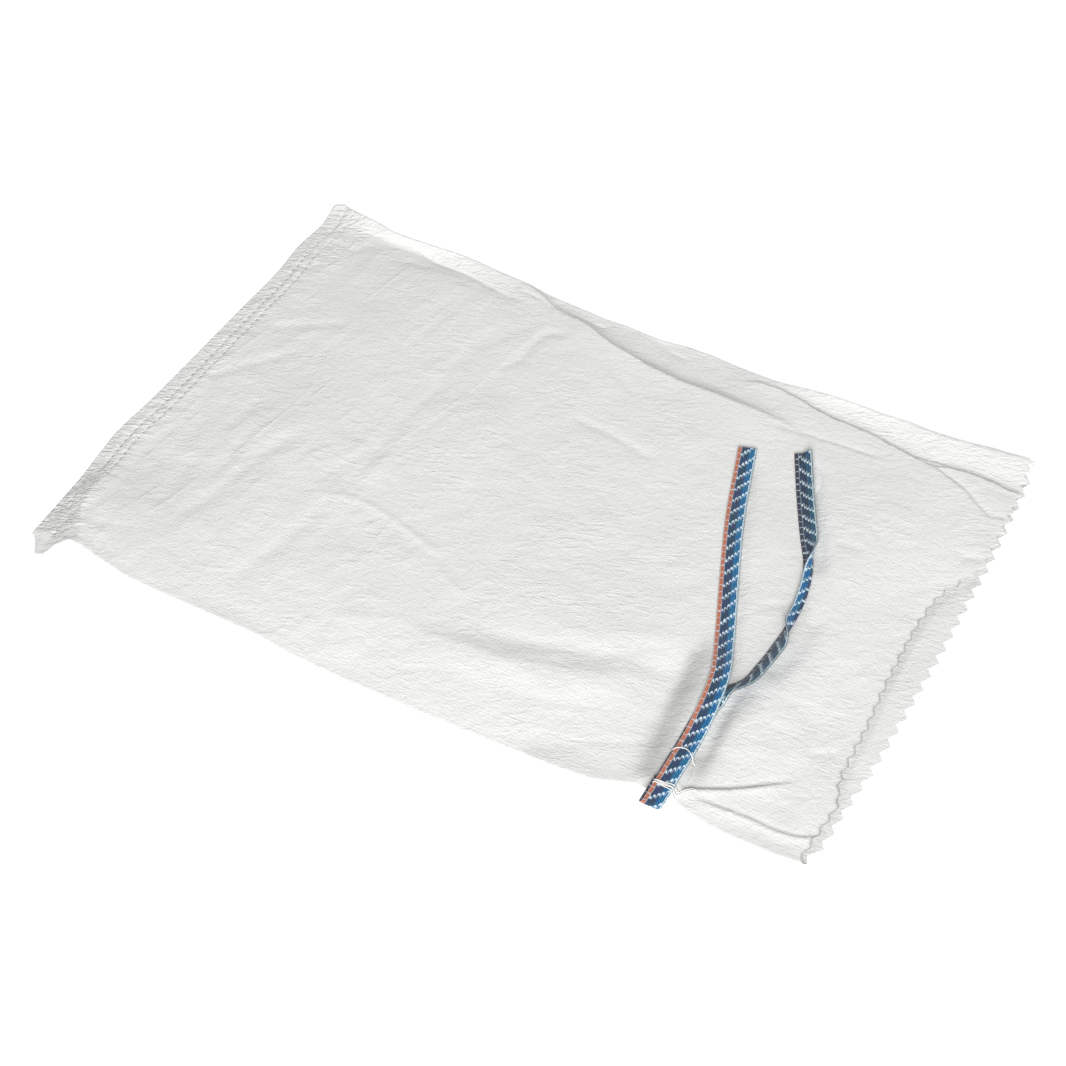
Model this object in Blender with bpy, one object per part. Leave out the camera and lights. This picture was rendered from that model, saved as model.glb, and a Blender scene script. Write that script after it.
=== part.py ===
"""Empty woven sandbag, lying flat, with a stitched hem and a sewn-on tie band.

The bag is one seamless tube of flat-tape cloth. Its bottom end is folded
over and closed with two rows of stitches, and its mouth is cut with pinking
shears. A flat tie band, folded in half, is sewn to one side near the mouth.

Frame: X runs along the bag from the hem to the mouth, Y across it, Z up.
The origin is the middle of the bag's underside. Units are metres.
"""

from math import cos, exp, pi, radians, sin, sqrt

import bpy
import bmesh
from mathutils import Vector

# Bag, laid flat
BAG_WIDTH = 0.400
BAG_LENGTH = 0.600
MOUTH_BULGE = 0.010
EDGE_BOW = 0.010
WALL = 0.0005

# Bag heights, outside
PUFF_HEIGHT = 0.0105
MOUTH_HEIGHT = 0.0100
SIDE_HEIGHT = 0.0040
SIDE_RISE = 0.060
HEM_RISE = 0.080
MOUTH_FALL = 0.090

# Folded hem: both layers turned over once, so four thicknesses. Its near end
# stands out past the side, which the puffed bag draws in.
HEM_DEPTH = 0.020
HEM_THICKNESS = 4 * WALL
HEM_FLARE = 0.008
HEM_FLARE_END = 0.030

# Pinked mouth
TOOTH_COUNT = 33
TOOTH_DEPTH = 0.005
UPPER_SETBACK = 0.022
SETBACK_FROM = 0.08
SETBACK_TO = 0.70

# Tie band and the gather that its stitches pull in the near edge
BAND_WIDTH = 0.014
BAND_THICKNESS = 0.0010
BAND_CHAMFER = 0.0003
BAND_STEP = 0.012
FOLD_POINTS = 5
GATHER_X = 0.205
GATHER_DEPTH = 0.008
GATHER_REACH = 0.022

# Sewing thread
THREAD_RADIUS = 0.0004
HEM_ROWS = {"hem_thread_outer": 0.0095, "hem_thread_inner": 0.0165}
HEM_ROW_MARGIN = 0.004

# Gap between touching pieces
GAP = 0.0003

# Edges sharper than this stay sharp
SMOOTH_ANGLE = radians(40)

HEM_X = -(BAG_LENGTH + MOUTH_BULGE) / 2
MOUTH_X = HEM_X + BAG_LENGTH
HEM_INNER_X = HEM_X + HEM_DEPTH
SIDE_SHIFT = EDGE_BOW / 2

# Rings of the tube, as distances from the hem's edge
RING_DISTANCES = (0.0, 0.020, 0.034, 0.050, 0.070, 0.100, 0.190, 0.330,
                  0.440, 0.475, 0.495, 0.510, 0.525, 0.545)
FIRST_HOLLOW_RING = 1
SIDE_ARC_POINTS = 3

# Route of the tie band in plan: the upper leg from its free end to the fold,
# and the lower leg from the fold to its free end
UPPER_LEG = ((0.109, 0.108), (0.130, 0.040), (0.152, -0.018), (0.170, -0.064),
             (0.181, -0.098), (0.183, -0.125), (0.186, -0.160), (0.187, -0.189))
FOLD_END = (0.188, -0.207)
LOWER_LEG = ((0.187, -0.189), (0.186, -0.160), (0.187, -0.128), (0.193, -0.103),
             (0.202, -0.086), (0.208, -0.062), (0.210, -0.031), (0.204, 0.003),
             (0.193, 0.034), (0.176, 0.062), (0.148, 0.121))

# The lower leg stands up on its left edge along this stretch, by its Y
ROLL_RISES = (-0.105, -0.035)
ROLL_FALLS = (0.005, 0.075)
ROLL_ANGLE = radians(100)

# The upper leg comes down off the lower one between these Y values
STACK_END_Y = -0.105
STACK_CLEAR_Y = -0.060

# Stitches across the folded band: Y at the band and how far each side reaches
BAND_STITCHES = {"tie_stitch_edge": -0.195, "tie_stitch_inner": -0.165}
STITCH_REACH = 0.0095

FINISHES = {
    "woven_cloth": ((0.72, 0.72, 0.70), 0.45),
    "tie_webbing": ((0.03, 0.12, 0.30), 0.70),
    "sewing_thread": ((0.80, 0.80, 0.78), 0.60),
}


def remove_all_objects():
    """Start from an empty scene."""
    for item in list(bpy.data.objects):
        bpy.data.objects.remove(item, do_unlink=True)


def make_finish(name):
    """Return a plain material with the finish's colour and roughness."""
    colour, roughness = FINISHES[name]
    material = bpy.data.materials.new(name)
    material.use_nodes = True
    shader = material.node_tree.nodes["Principled BSDF"]
    shader.inputs["Base Color"].default_value = (*colour, 1.0)
    shader.inputs["Roughness"].default_value = roughness
    shader.inputs["Metallic"].default_value = 0.0
    material.diffuse_color = (*colour, 1.0)
    return material


def add_object(name, data, finish):
    """Link an object that holds the data and wears the finish."""
    item = bpy.data.objects.new(name, data)
    data.materials.append(finish)
    bpy.context.scene.collection.objects.link(item)
    return item


def smooth_step(value, low, high):
    """Rise smoothly from 0 at low to 1 at high."""
    share = min(max((value - low) / (high - low), 0.0), 1.0)
    return share * share * (3.0 - 2.0 * share)


def bow(x):
    """Sideways bow of the bag: none at its two ends, most half way."""
    share = 2.0 * (x - HEM_X) / BAG_LENGTH - 1.0
    return EDGE_BOW * max(1.0 - share * share, 0.0)


def hem_flare(x):
    """How far the near side stands out at the hem."""
    return HEM_FLARE * (1.0 - smooth_step(x, HEM_INNER_X, HEM_X + HEM_FLARE_END))


def gather(x):
    """How far the band's stitches draw the near edge in."""
    return GATHER_DEPTH * exp(-((x - GATHER_X) / GATHER_REACH) ** 2)


def near_edge(x):
    """Y of the near edge."""
    return SIDE_SHIFT - BAG_WIDTH / 2 - bow(x) - hem_flare(x) + gather(x)


def far_edge(x):
    """Y of the far edge."""
    return SIDE_SHIFT + BAG_WIDTH / 2 - bow(x)


def side_height(x):
    """Outside height of the side folds."""
    rise = smooth_step(x, HEM_INNER_X, HEM_X + HEM_RISE)
    return HEM_THICKNESS + (SIDE_HEIGHT - HEM_THICKNESS) * rise


def upper_height(x, y):
    """Height of the upper layer's top face."""
    rise = smooth_step(x, HEM_INNER_X, HEM_X + HEM_RISE)
    fall = smooth_step(x, MOUTH_X - MOUTH_FALL, MOUTH_X)
    middle = HEM_THICKNESS + (PUFF_HEIGHT - HEM_THICKNESS) * rise
    middle -= (PUFF_HEIGHT - MOUTH_HEIGHT) * fall
    edge = side_height(x)
    from_side = min(y - near_edge(x), far_edge(x) - y)
    return edge + (middle - edge) * smooth_step(from_side, edge / 2, SIDE_RISE)


def mouth_x(share, is_upper):
    """X of the mouth's edge at a share of the width, without its teeth."""
    bulge = MOUTH_BULGE * (1.0 - (2.0 * share - 1.0) ** 2)
    setback = 0.0
    if is_upper and SETBACK_FROM < share < SETBACK_TO:
        part = (share - SETBACK_FROM) / (SETBACK_TO - SETBACK_FROM)
        setback = UPPER_SETBACK * sqrt(sin(pi * part))
    return MOUTH_X + bulge - setback


def ring_points(x, inset, at_mouth=False):
    """Points of one ring of the tube, from the near side along the underside.

    The outer skin has no inset, and the inner skin's inset is the wall.
    """
    steps = 2 * TOOTH_COUNT
    radius = side_height(x) / 2
    near = near_edge(x) + radius
    far = far_edge(x) - radius
    flats = {False: [], True: []}
    for is_upper in (False, True):
        for step in range(steps + 1):
            share = step / steps
            y = near + (far - near) * share
            z = upper_height(x, y) - inset if is_upper else inset
            along = x
            if at_mouth:
                tooth = TOOTH_DEPTH * (step % 2 == 0)
                along = mouth_x(share, is_upper) - tooth
            flats[is_upper].append(Vector((along, y, z)))
    side_x = mouth_x(0.0, False) - TOOTH_DEPTH if at_mouth else x
    far_arc = []
    near_arc = []
    for step in range(1, SIDE_ARC_POINTS + 1):
        angle = -pi / 2 + pi * step / (SIDE_ARC_POINTS + 1)
        out = (radius - inset) * cos(angle)
        z = radius + (radius - inset) * sin(angle)
        far_arc.append(Vector((side_x, far + out, z)))
        near_arc.append(Vector((side_x, near - out, z)))
    return flats[False] + far_arc + flats[True][::-1] + near_arc[::-1]


def add_ring(mesh, points):
    """Add a ring's vertices to the mesh being built."""
    return [mesh.verts.new(point) for point in points]


def join_rings(mesh, first, second):
    """Join two rings of equal count with quads."""
    count = len(first)
    for index in range(count):
        after = (index + 1) % count
        mesh.faces.new((first[index], first[after], second[after], second[index]))


def finish_mesh(mesh, name):
    """Turn the faces outwards and return the mesh's data, shaded smooth."""
    bmesh.ops.recalc_face_normals(mesh, faces=mesh.faces[:])
    data = bpy.data.meshes.new(name)
    mesh.to_mesh(data)
    mesh.free()
    data.shade_smooth()
    data.set_sharp_from_angle(angle=SMOOTH_ANGLE)
    return data


def make_bag(finish):
    """Make the tube of cloth, closed at its hem and open at its mouth."""
    mesh = bmesh.new()
    stations = [HEM_X + distance for distance in RING_DISTANCES]
    outer = [add_ring(mesh, ring_points(x, 0.0)) for x in stations]
    outer.append(add_ring(mesh, ring_points(MOUTH_X, 0.0, at_mouth=True)))
    hollow = stations[FIRST_HOLLOW_RING:]
    inner = [add_ring(mesh, ring_points(x, WALL)) for x in hollow]
    inner.append(add_ring(mesh, ring_points(MOUTH_X, WALL, at_mouth=True)))
    for rings in (outer, inner):
        for first, second in zip(rings, rings[1:]):
            join_rings(mesh, first, second)
    join_rings(mesh, outer[-1], inner[-1])
    mesh.faces.new(outer[0])
    mesh.faces.new(inner[0])
    return add_object("bag_body", finish_mesh(mesh, "bag_body"), finish)


def smooth_route(points, step):
    """Read points about a step apart from a smooth curve through the route."""
    spots = [Vector(point) for point in points]
    ends = [2 * spots[0] - spots[1]] + spots + [2 * spots[-1] - spots[-2]]
    route = []
    for index in range(1, len(ends) - 2):
        before, start, stop, after = ends[index - 1:index + 3]
        pieces = max(round((stop - start).length / step), 1)
        for piece in range(pieces):
            share = piece / pieces
            route.append(0.5 * (2 * start + (stop - before) * share
                                + (2 * before - 5 * start + 4 * stop - after) * share ** 2
                                + (3 * start - before - 3 * stop + after) * share ** 3))
    route.append(spots[-1])
    return route


def roll_at(y):
    """Roll of the lower leg about its own line."""
    return ROLL_ANGLE * smooth_step(y, *ROLL_RISES) * (1.0 - smooth_step(y, *ROLL_FALLS))


def rest_height(x, y):
    """Height on which a band lies: the bag's top, or level with it outside."""
    inside = max(y, near_edge(x) + side_height(x) / 2)
    return upper_height(x, inside) + GAP


def lower_leg_height(x, y):
    """Height of the lower leg's middle, raised where it stands on its edge."""
    roll = roll_at(y)
    half_height = BAND_WIDTH / 2 * sin(roll) + BAND_THICKNESS / 2 * abs(cos(roll))
    return rest_height(x, y) + GAP + half_height


def upper_leg_height(x, y):
    """Height of the upper leg's middle, on the lower leg near the fold."""
    stacked = 1.0 - smooth_step(y, STACK_END_Y, STACK_CLEAR_Y)
    return rest_height(x, y) + GAP + BAND_THICKNESS / 2 + stacked * (BAND_THICKNESS + GAP)


def band_route():
    """Middle line of the whole band with its roll, from end to end."""
    route = []
    for spot in smooth_route(UPPER_LEG, BAND_STEP):
        route.append((Vector((*spot, upper_leg_height(*spot))), 0.0))
    top = upper_leg_height(*UPPER_LEG[-1])
    bottom = lower_leg_height(*LOWER_LEG[0])
    turn = (top - bottom) / 2
    turn_middle = Vector((*FOLD_END, (top + bottom) / 2))
    outward = (Vector(FOLD_END) - Vector(UPPER_LEG[-1])).normalized()
    for step in range(FOLD_POINTS):
        angle = pi / 2 - pi * step / (FOLD_POINTS - 1)
        out = outward * turn * cos(angle)
        place = turn_middle + Vector((out.x, out.y, turn * sin(angle)))
        route.append((place, 0.0))
    for spot in smooth_route(LOWER_LEG, BAND_STEP):
        place = Vector((*spot, lower_leg_height(*spot)))
        route.append((place, roll_at(spot.y)))
    return route


def band_section(width_way, thick_way):
    """Corners of the band's flat section, chamfered, as offsets."""
    wide = BAND_WIDTH / 2
    thick = BAND_THICKNESS / 2
    corners = ((wide - BAND_CHAMFER, thick), (wide, thick - BAND_CHAMFER),
               (wide, BAND_CHAMFER - thick), (wide - BAND_CHAMFER, -thick),
               (BAND_CHAMFER - wide, -thick), (-wide, BAND_CHAMFER - thick),
               (-wide, thick - BAND_CHAMFER), (BAND_CHAMFER - wide, thick))
    return [width_way * across + thick_way * up for across, up in corners]


def make_band(finish):
    """Sweep the band's section along its route."""
    mesh = bmesh.new()
    route = band_route()
    fold_index = min(range(len(route)), key=lambda index: route[index][0].y)
    rings = []
    for index, (place, roll) in enumerate(route):
        before = route[max(index - 1, 0)][0]
        after = route[min(index + 1, len(route) - 1)][0]
        along = (after - before).normalized()
        level = Vector((after.x - before.x, after.y - before.y))
        if abs(index - fold_index) <= FOLD_POINTS // 2:
            level = Vector(FOLD_END) - Vector(UPPER_LEG[-1])
            turn = 1.0
        else:
            turn = 1.0 if index < fold_index else -1.0
        level.normalize()
        width_way = turn * Vector((-level.y, level.x, 0.0))
        width_way = (width_way - along * width_way.dot(along)).normalized()
        thick_way = along.cross(width_way)
        rolled_width = width_way * cos(roll) - thick_way * sin(roll)
        rolled_thick = thick_way * cos(roll) + width_way * sin(roll)
        offsets = band_section(rolled_width, rolled_thick)
        rings.append(add_ring(mesh, [place + offset for offset in offsets]))
    for first, second in zip(rings, rings[1:]):
        join_rings(mesh, first, second)
    mesh.faces.new(rings[0])
    mesh.faces.new(rings[-1])
    return add_object("tie_band", finish_mesh(mesh, "tie_band"), finish)


def make_thread(name, points, finish):
    """Make a round thread through the points, with closed ends."""
    curve = bpy.data.curves.new(name, "CURVE")
    curve.dimensions = "3D"
    curve.bevel_depth = THREAD_RADIUS
    curve.bevel_resolution = 2
    curve.use_fill_caps = True
    spline = curve.splines.new("POLY")
    spline.points.add(len(points) - 1)
    for spot, place in zip(spline.points, points):
        spot.co = (*place, 1.0)
    return add_object(name, curve, finish)


def make_hem_threads(finish):
    """Lay the two rows of stitches on the hem."""
    height = HEM_THICKNESS + GAP + THREAD_RADIUS
    for name, distance in HEM_ROWS.items():
        x = HEM_X + distance
        ends = (near_edge(x) + HEM_ROW_MARGIN, far_edge(x) - HEM_ROW_MARGIN)
        make_thread(name, [(x, y, height) for y in ends], finish)


def make_band_stitches(finish):
    """Lay the stitches across the folded band, down to the bag each side."""
    across = Vector(UPPER_LEG[-1]) - Vector(UPPER_LEG[-2])
    across = Vector((-across.y, across.x)).normalized()
    for name, y in BAND_STITCHES.items():
        share = (y - UPPER_LEG[-2][1]) / (UPPER_LEG[-1][1] - UPPER_LEG[-2][1])
        middle = Vector(UPPER_LEG[-2]).lerp(Vector(UPPER_LEG[-1]), share)
        over = upper_leg_height(*middle) + BAND_THICKNESS / 2 + GAP + THREAD_RADIUS
        points = []
        for reach in (-STITCH_REACH, -BAND_WIDTH / 2, BAND_WIDTH / 2, STITCH_REACH):
            spot = middle + across * reach
            height = over
            if abs(reach) == STITCH_REACH:
                height = rest_height(*spot) + GAP + THREAD_RADIUS
            points.append((spot.x, spot.y, height))
        make_thread(name, points, finish)


def main():
    """Make every piece of the bag."""
    remove_all_objects()
    cloth = make_finish("woven_cloth")
    webbing = make_finish("tie_webbing")
    thread = make_finish("sewing_thread")
    make_bag(cloth)
    make_hem_threads(thread)
    make_band(webbing)
    make_band_stitches(thread)


main()
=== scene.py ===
"""Looks of an empty woven sandbag, lying flat with its tie band across it.

The bag is one tube of flat-tape cloth, worked out as height fields over its
outline: an upper layer with its creases, a lower layer, two side folds and a
stitched hem. The tie band is swept along its route and lies on the upper
layer. Units are metres; X runs from the hem to the mouth, Z up.
"""

import logging
from dataclasses import dataclass
from enum import Enum
from math import cos, pi, radians, sin, tan

import bpy
import numpy as np
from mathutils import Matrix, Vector


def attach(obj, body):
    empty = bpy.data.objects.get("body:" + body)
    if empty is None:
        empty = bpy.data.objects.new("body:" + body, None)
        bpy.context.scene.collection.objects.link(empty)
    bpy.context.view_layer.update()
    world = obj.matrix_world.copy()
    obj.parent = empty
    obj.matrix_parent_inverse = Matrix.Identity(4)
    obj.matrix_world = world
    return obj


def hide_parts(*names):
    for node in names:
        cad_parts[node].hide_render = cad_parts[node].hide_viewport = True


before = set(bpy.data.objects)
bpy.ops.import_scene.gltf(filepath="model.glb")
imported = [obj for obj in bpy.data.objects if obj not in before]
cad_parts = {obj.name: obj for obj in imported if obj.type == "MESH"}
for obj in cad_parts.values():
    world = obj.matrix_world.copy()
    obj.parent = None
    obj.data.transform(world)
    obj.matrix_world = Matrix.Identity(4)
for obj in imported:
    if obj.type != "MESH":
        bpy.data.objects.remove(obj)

LOG = logging.getLogger("sandbag")
BODY = "root"

Array = np.ndarray
Points = tuple[tuple[float, ...], ...]
Socket = bpy.types.NodeSocket
Material = bpy.types.Material
Piece = bpy.types.Object

MM_PER_METRE = 1000.0
# Keeps a step from having no width at all
TINY = 1e-6


def metres(*points: tuple[float, ...]) -> Points:
    """Return points written in millimetres as points in metres."""
    return tuple(tuple(value / MM_PER_METRE for value in point) for point in points)


# Plain shape functions on whole arrays


def smooth_step(value: Array, low: float, high: float) -> Array:
    """Rise smoothly from 0 at low to 1 at high.

    Formula: with t the share of the way, t squared times (3 - 2 t).

    Args:
        value: numbers to place on the step.
        low: where the step starts.
        high: where the step ends.

    Returns:
        The step's height at each value.
    """
    share = np.clip((np.asarray(value, float) - low) / (high - low), 0.0, 1.0)
    return share * share * (3.0 - 2.0 * share)


def cubic_through(xs: Array, ys: Array, slopes: Array, at: Array) -> Array:
    """Read cubic pieces that meet known points with known slopes.

    Formula: in each piece the two ends' heights and slopes, weighted by the
    four cubic blends of the share along it. Outside, the end heights stay.

    Args:
        xs: rising x of the points.
        ys: y of the points.
        slopes: slope at each point.
        at: x values to read.

    Returns:
        The curve's y at each x.
    """
    place = np.clip(at, xs[0], xs[-1])
    piece = np.clip(np.searchsorted(xs, place) - 1, 0, len(xs) - 2)
    step = xs[piece + 1] - xs[piece]
    t = (place - xs[piece]) / step
    start = (2 * t**3 - 3 * t**2 + 1) * ys[piece] + (t**3 - 2 * t**2 + t) * step * slopes[piece]
    stop = (3 * t**2 - 2 * t**3) * ys[piece + 1] + (t**3 - t**2) * step * slopes[piece + 1]
    return start + stop


def curve_through(points: Points, at: Array) -> Array:
    """Read a smooth curve through points (x, y) that never swings past them.

    Formula: cubic pieces; each inner slope is the harmonic mean of the
    slopes on both sides, or none where they differ in sign.

    Args:
        points: the known (x, y) pairs, with x rising.
        at: x values to read.

    Returns:
        The curve's y at each x.
    """
    xs, ys = np.array(points, float).T
    rises = np.diff(ys) / np.diff(xs)
    before, after = rises[:-1], rises[1:]
    same = before * after > 0
    mean = 2 * before * after / np.where(same, before + after, 1.0)
    slopes = np.concatenate((rises[:1], np.where(same, mean, 0.0), rises[-1:]))
    return cubic_through(xs, ys, slopes, at)


def lengths_along(line: Array) -> Array:
    """Return the length of a line of straight pieces up to each of its spots."""
    pieces = np.linalg.norm(np.diff(line, axis=0), axis=1)
    return np.concatenate(([0.0], np.cumsum(pieces)))


def smooth_line(points: Points, step: float) -> Array:
    """Read evenly spaced spots from a smooth line through points.

    Formula: each coordinate is a cubic curve over the length so far, with
    centred slopes.

    Args:
        points: points in two or three dimensions.
        step: distance wanted between spots.

    Returns:
        The spots, one row each.
    """
    known = np.array(points, float)
    so_far = lengths_along(known)
    count = max(int(round(so_far[-1] / step)), 2)
    at = np.linspace(0.0, so_far[-1], count + 1)
    columns = [cubic_through(so_far, column, np.gradient(column, so_far), at) for column in known.T]
    return np.stack(columns, axis=1)


def beside_line(line: Array, x: Array, y: Array) -> tuple[Array, Array]:
    """Measure points against a line of straight pieces.

    Formula: the distance to the nearest piece, positive on the line's left
    side, and the length up to the nearest spot as a share of the whole.

    Args:
        line: spots of the line, one row each.
        x: X of the points.
        y: Y of the points.

    Returns:
        The signed distances and the shares along the line.
    """
    lengths = np.linalg.norm(np.diff(line, axis=0), axis=1)
    so_far = np.concatenate(([0.0], np.cumsum(lengths)))
    nearest = np.full(np.shape(x), np.inf)
    signed = np.zeros(np.shape(x))
    along = np.zeros(np.shape(x))
    for start, stop, length, offset in zip(line, line[1:], lengths, so_far):
        way = (stop - start) / length
        ahead = (x - start[0]) * way[0] + (y - start[1]) * way[1]
        left = (y - start[1]) * way[0] - (x - start[0]) * way[1]
        kept = np.clip(ahead, 0.0, length)
        gap = np.hypot(ahead - kept, left)
        closer = gap < nearest
        nearest = np.where(closer, gap, nearest)
        signed = np.where(closer, np.copysign(gap, left), signed)
        along = np.where(closer, (offset + kept) / so_far[-1], along)
    return signed, along


def lattice_noise(x: Array, y: Array, cell: float, seed: int) -> Array:
    """Smooth random waves between -1 and 1.

    Formula: random numbers on a square lattice, blended between its
    corners with smooth steps.

    Args:
        x: X of the points.
        y: Y of the points.
        cell: lattice spacing.
        seed: number that fixes the random values.

    Returns:
        The wave's height at each point.
    """
    side = 257
    values = np.random.default_rng(seed).uniform(-1.0, 1.0, (side, side))
    u = np.asarray(x, float) / cell + side / 2
    v = np.asarray(y, float) / cell + side / 2
    i = np.clip(np.floor(u).astype(int), 0, side - 2)
    j = np.clip(np.floor(v).astype(int), 0, side - 2)
    s = smooth_step(u - i, 0.0, 1.0)
    t = smooth_step(v - j, 0.0, 1.0)
    low = values[i, j] * (1 - s) + values[i + 1, j] * s
    high = values[i, j + 1] * (1 - s) + values[i + 1, j + 1] * s
    return low * (1 - t) + high * t


# Creases and wrinkles


class Fold(Enum):
    """How the cloth rises or sinks beside the line of a crease."""

    SHARP = "sharp"
    ROUND = "round"
    LAP = "lap"


SHARP, ROUND, LAP = Fold


@dataclass(frozen=True)
class Crease:
    """One crease of the upper layer, along a line of points in plan, in millimetres.

    A sharp or a round crease has its height at its line. A lap is a pleat
    that stands its height above the line on the right side, and dips by
    its drop on the left side. The fades are shares of the line's length.
    """

    fold: Fold
    points: Points
    height: float
    left: float
    right: float
    fade: float = 0.2
    fade_start: float | None = None
    drop: float = 0.0
    step: float = 6.0
    lap_from: float = -2.4
    lap_to: float = 1.2

    def rise(self, x: Array, y: Array) -> Array:
        """Return how far the crease lifts the cloth.

        Formula: height times exp(-d/w) for a sharp crease or exp(-(d/w)^2)
        for a round one, where d is the distance and w the width of that
        side. A lap goes from its drop to its height in a smooth step across
        the line, times exp(-d/w). All fade out at the line's ends.

        Args:
            x: X of the points.
            y: Y of the points.

        Returns:
            The lift at each point.
        """
        line = smooth_line(self.points, self.step)
        signed, along = beside_line(line, x * MM_PER_METRE, y * MM_PER_METRE)
        start = self.fade if self.fade_start is None else self.fade_start
        ends = smooth_step(along, -TINY, start + TINY) * smooth_step(1.0 - along, -TINY, self.fade + TINY)
        width = np.where(signed > 0, self.left, self.right)
        reach = np.abs(signed) / width
        if self.fold is SHARP:
            shape = self.height * np.exp(-reach)
        elif self.fold is ROUND:
            shape = self.height * np.exp(-reach**2)
        else:
            over = smooth_step(-signed, self.lap_from, self.lap_to)
            shape = (over * self.height - (1.0 - over) * self.drop) * np.exp(-reach)
        return shape * ends / MM_PER_METRE


CREASES = (
    # The pleat that the stitches raise, and the one in front of it
    Crease(LAP, ((196, -190), (206, -184), (222, -176), (237, -167), (248, -158), (266, -145)), 2.4, 5,
           5.5, 0.35, 0.06, 1.8),
    Crease(LAP, ((204, -192), (228, -190), (247, -188.5), (267, -189), (281, -186), (294, -179)), 1.8,
           4.5, 5, 0.05, 0.15, 1),
    # The cloth humps up under the tie band and sinks beside it
    Crease(ROUND, ((187, -200), (186, -160), (183, -128), (174, -85), (165, -50)), 5, 14.5, 8, 0.35,
           0.02),
    Crease(SHARP, ((169, -192), (166, -176), (162, -153.5), (158.5, -137), (157, -121.5), (157, -107),
           (154.5, -90), (149, -70)), -6.4, 24, 11, 0.35, 0.4),
    # Long soft wrinkle above the near edge
    Crease(ROUND, ((-30, -160), (1, -153), (34, -150), (63, -146), (95, -136), (125, -124),
           (146, -114)), 2.2, 8, 20, 0.3),
    Crease(ROUND, ((0, -134), (34, -131), (63, -125), (95, -116), (119, -106), (138, -100)), -1.4, 9, 6,
           0.3),
    # Where both legs press into the cloth
    Crease(ROUND, ((114, 113), (135.5, 43), (158, -16), (176.5, -63), (188, -98)), -2.4, 6, 7, 0.15),
    Crease(ROUND, ((199, -92), (196, -108), (195.5, -125), (197, -150), (199, -178)), -4, 6, 12.5, 0.3),
    Crease(ROUND, ((154, 130), (166, 101), (181, 70), (190, 53), (198, 38), (207, 16)), -3.2, 5, 9.5),
    Crease(ROUND, ((209, -85), (216.5, -55), (217.5, -30), (214.5, -5)), -2.2, 6, 8, 0.25),
    # Fan of pleats at the far end of the hem
    Crease(SHARP, ((-278.2, 174.6), (-272.7, 179.7), (-265.3, 185.2), (-258.7, 188)), -1.1, 2.4, 2.4,
           0.25),
    Crease(SHARP, ((-266.2, 161.5), (-256.9, 170.9), (-251.6, 180), (-247.1, 187)), -1.2, 2.6, 2.6,
           0.25),
    Crease(SHARP, ((-289.1, 157), (-277.7, 166.4)), -0.8, 2.4, 2.4, 0.3),
    Crease(SHARP, ((-283, 136), (-278.6, 141.2), (-274, 148)), -0.9, 2.4, 2.4, 0.3),
    Crease(SHARP, ((-223.9, 170.7), (-212, 173.9), (-202.1, 174.7), (-196.6, 176), (-190.4, 180)), -1.2,
           2.8, 2.8),
    # Small folds where the two far laps cross
    Crease(SHARP, ((-120.7, 184.8), (-101.2, 181.8), (-81.6, 174.5)), -1.1, 2.4, 2.4),
    Crease(SHARP, ((-76.2, 180.7), (-60.3, 180), (-40.3, 179.5)), -1, 2.4, 2.4),
    # Sharp pressed creases
    Crease(SHARP, ((-94, 100), (-85, 111), (-83, 130), (-79, 148), (-62, 157)), -1.6, 2.8, 2.8, 0.15),
    Crease(SHARP, ((-24, 79), (3, 77), (30, 72), (57, 65)), -1.3, 5, 4),
    Crease(SHARP, ((-149, -81), (-130, -70), (-104, -69), (-74, -76), (-41, -86)), 1.2, 2.1, 2.1, 0.15),
    Crease(SHARP, ((-34, -100), (-8, -112)), 1.1, 2.1, 2.1),
    Crease(SHARP, ((258, -124), (266, -118), (277, -110)), -1.2, 3.5, 3),
    Crease(SHARP, ((284, 80), (292, 86), (303, 91)), -1.4, 3.5, 3, 0.3, 0.3),
    Crease(LAP, ((108, 137), (122, 138.5), (143, 142), (165, 143.8), (184, 144.2), (206, 145.5)), 0.4,
           4, 4, 0.2, None, 1.4),
    Crease(LAP, ((228, 158), (232.9, 156.8), (248.4, 151.1), (266.1, 143.4), (279.9, 133.9),
           (289.3, 128.5), (303.8, 132)), 0.3, 3.5, 5, 0.05, 0.2, 1.8),
    Crease(SHARP, ((-55, 176), (-47, 178.5), (-40, 185)), -0.8, 2.5, 2.5),
    Crease(SHARP, ((0, 186), (5, 182.5), (22, 178), (29, 176.6)), -0.7, 2.5, 2.5),
    Crease(SHARP, ((200, 55), (213, 55), (224, 58)), -0.8, 3, 3),
    # Soft wrinkles across the hem half
    Crease(ROUND, ((-288, -6), (-270, 14), (-257, 28), (-230, 56)), -1.1, 4, 5, 0.3, 0.05),
    Crease(ROUND, ((-278, 58), (-253, 73), (-217, 92)), -0.9, 5, 5),
    Crease(ROUND, ((-245, -141), (-247, -118), (-249, -80)), -0.8, 6, 6),
    Crease(ROUND, ((-224, -145), (-214, -103), (-202, -51), (-193, -21)), -1.2, 6, 7),
    Crease(ROUND, ((-163, -183), (-153, -146), (-143, -109), (-136, -67)), -1.2, 6, 7),
    Crease(ROUND, ((-232, -107), (-225, -78), (-221, -51)), -0.8, 5, 5),
    Crease(ROUND, ((-245, -52), (-242, -32), (-237, -8)), -0.8, 5, 5),
    Crease(ROUND, ((-158, -68), (-147, -46), (-135, -28), (-124, -11)), -0.9, 5, 5),
)


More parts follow.
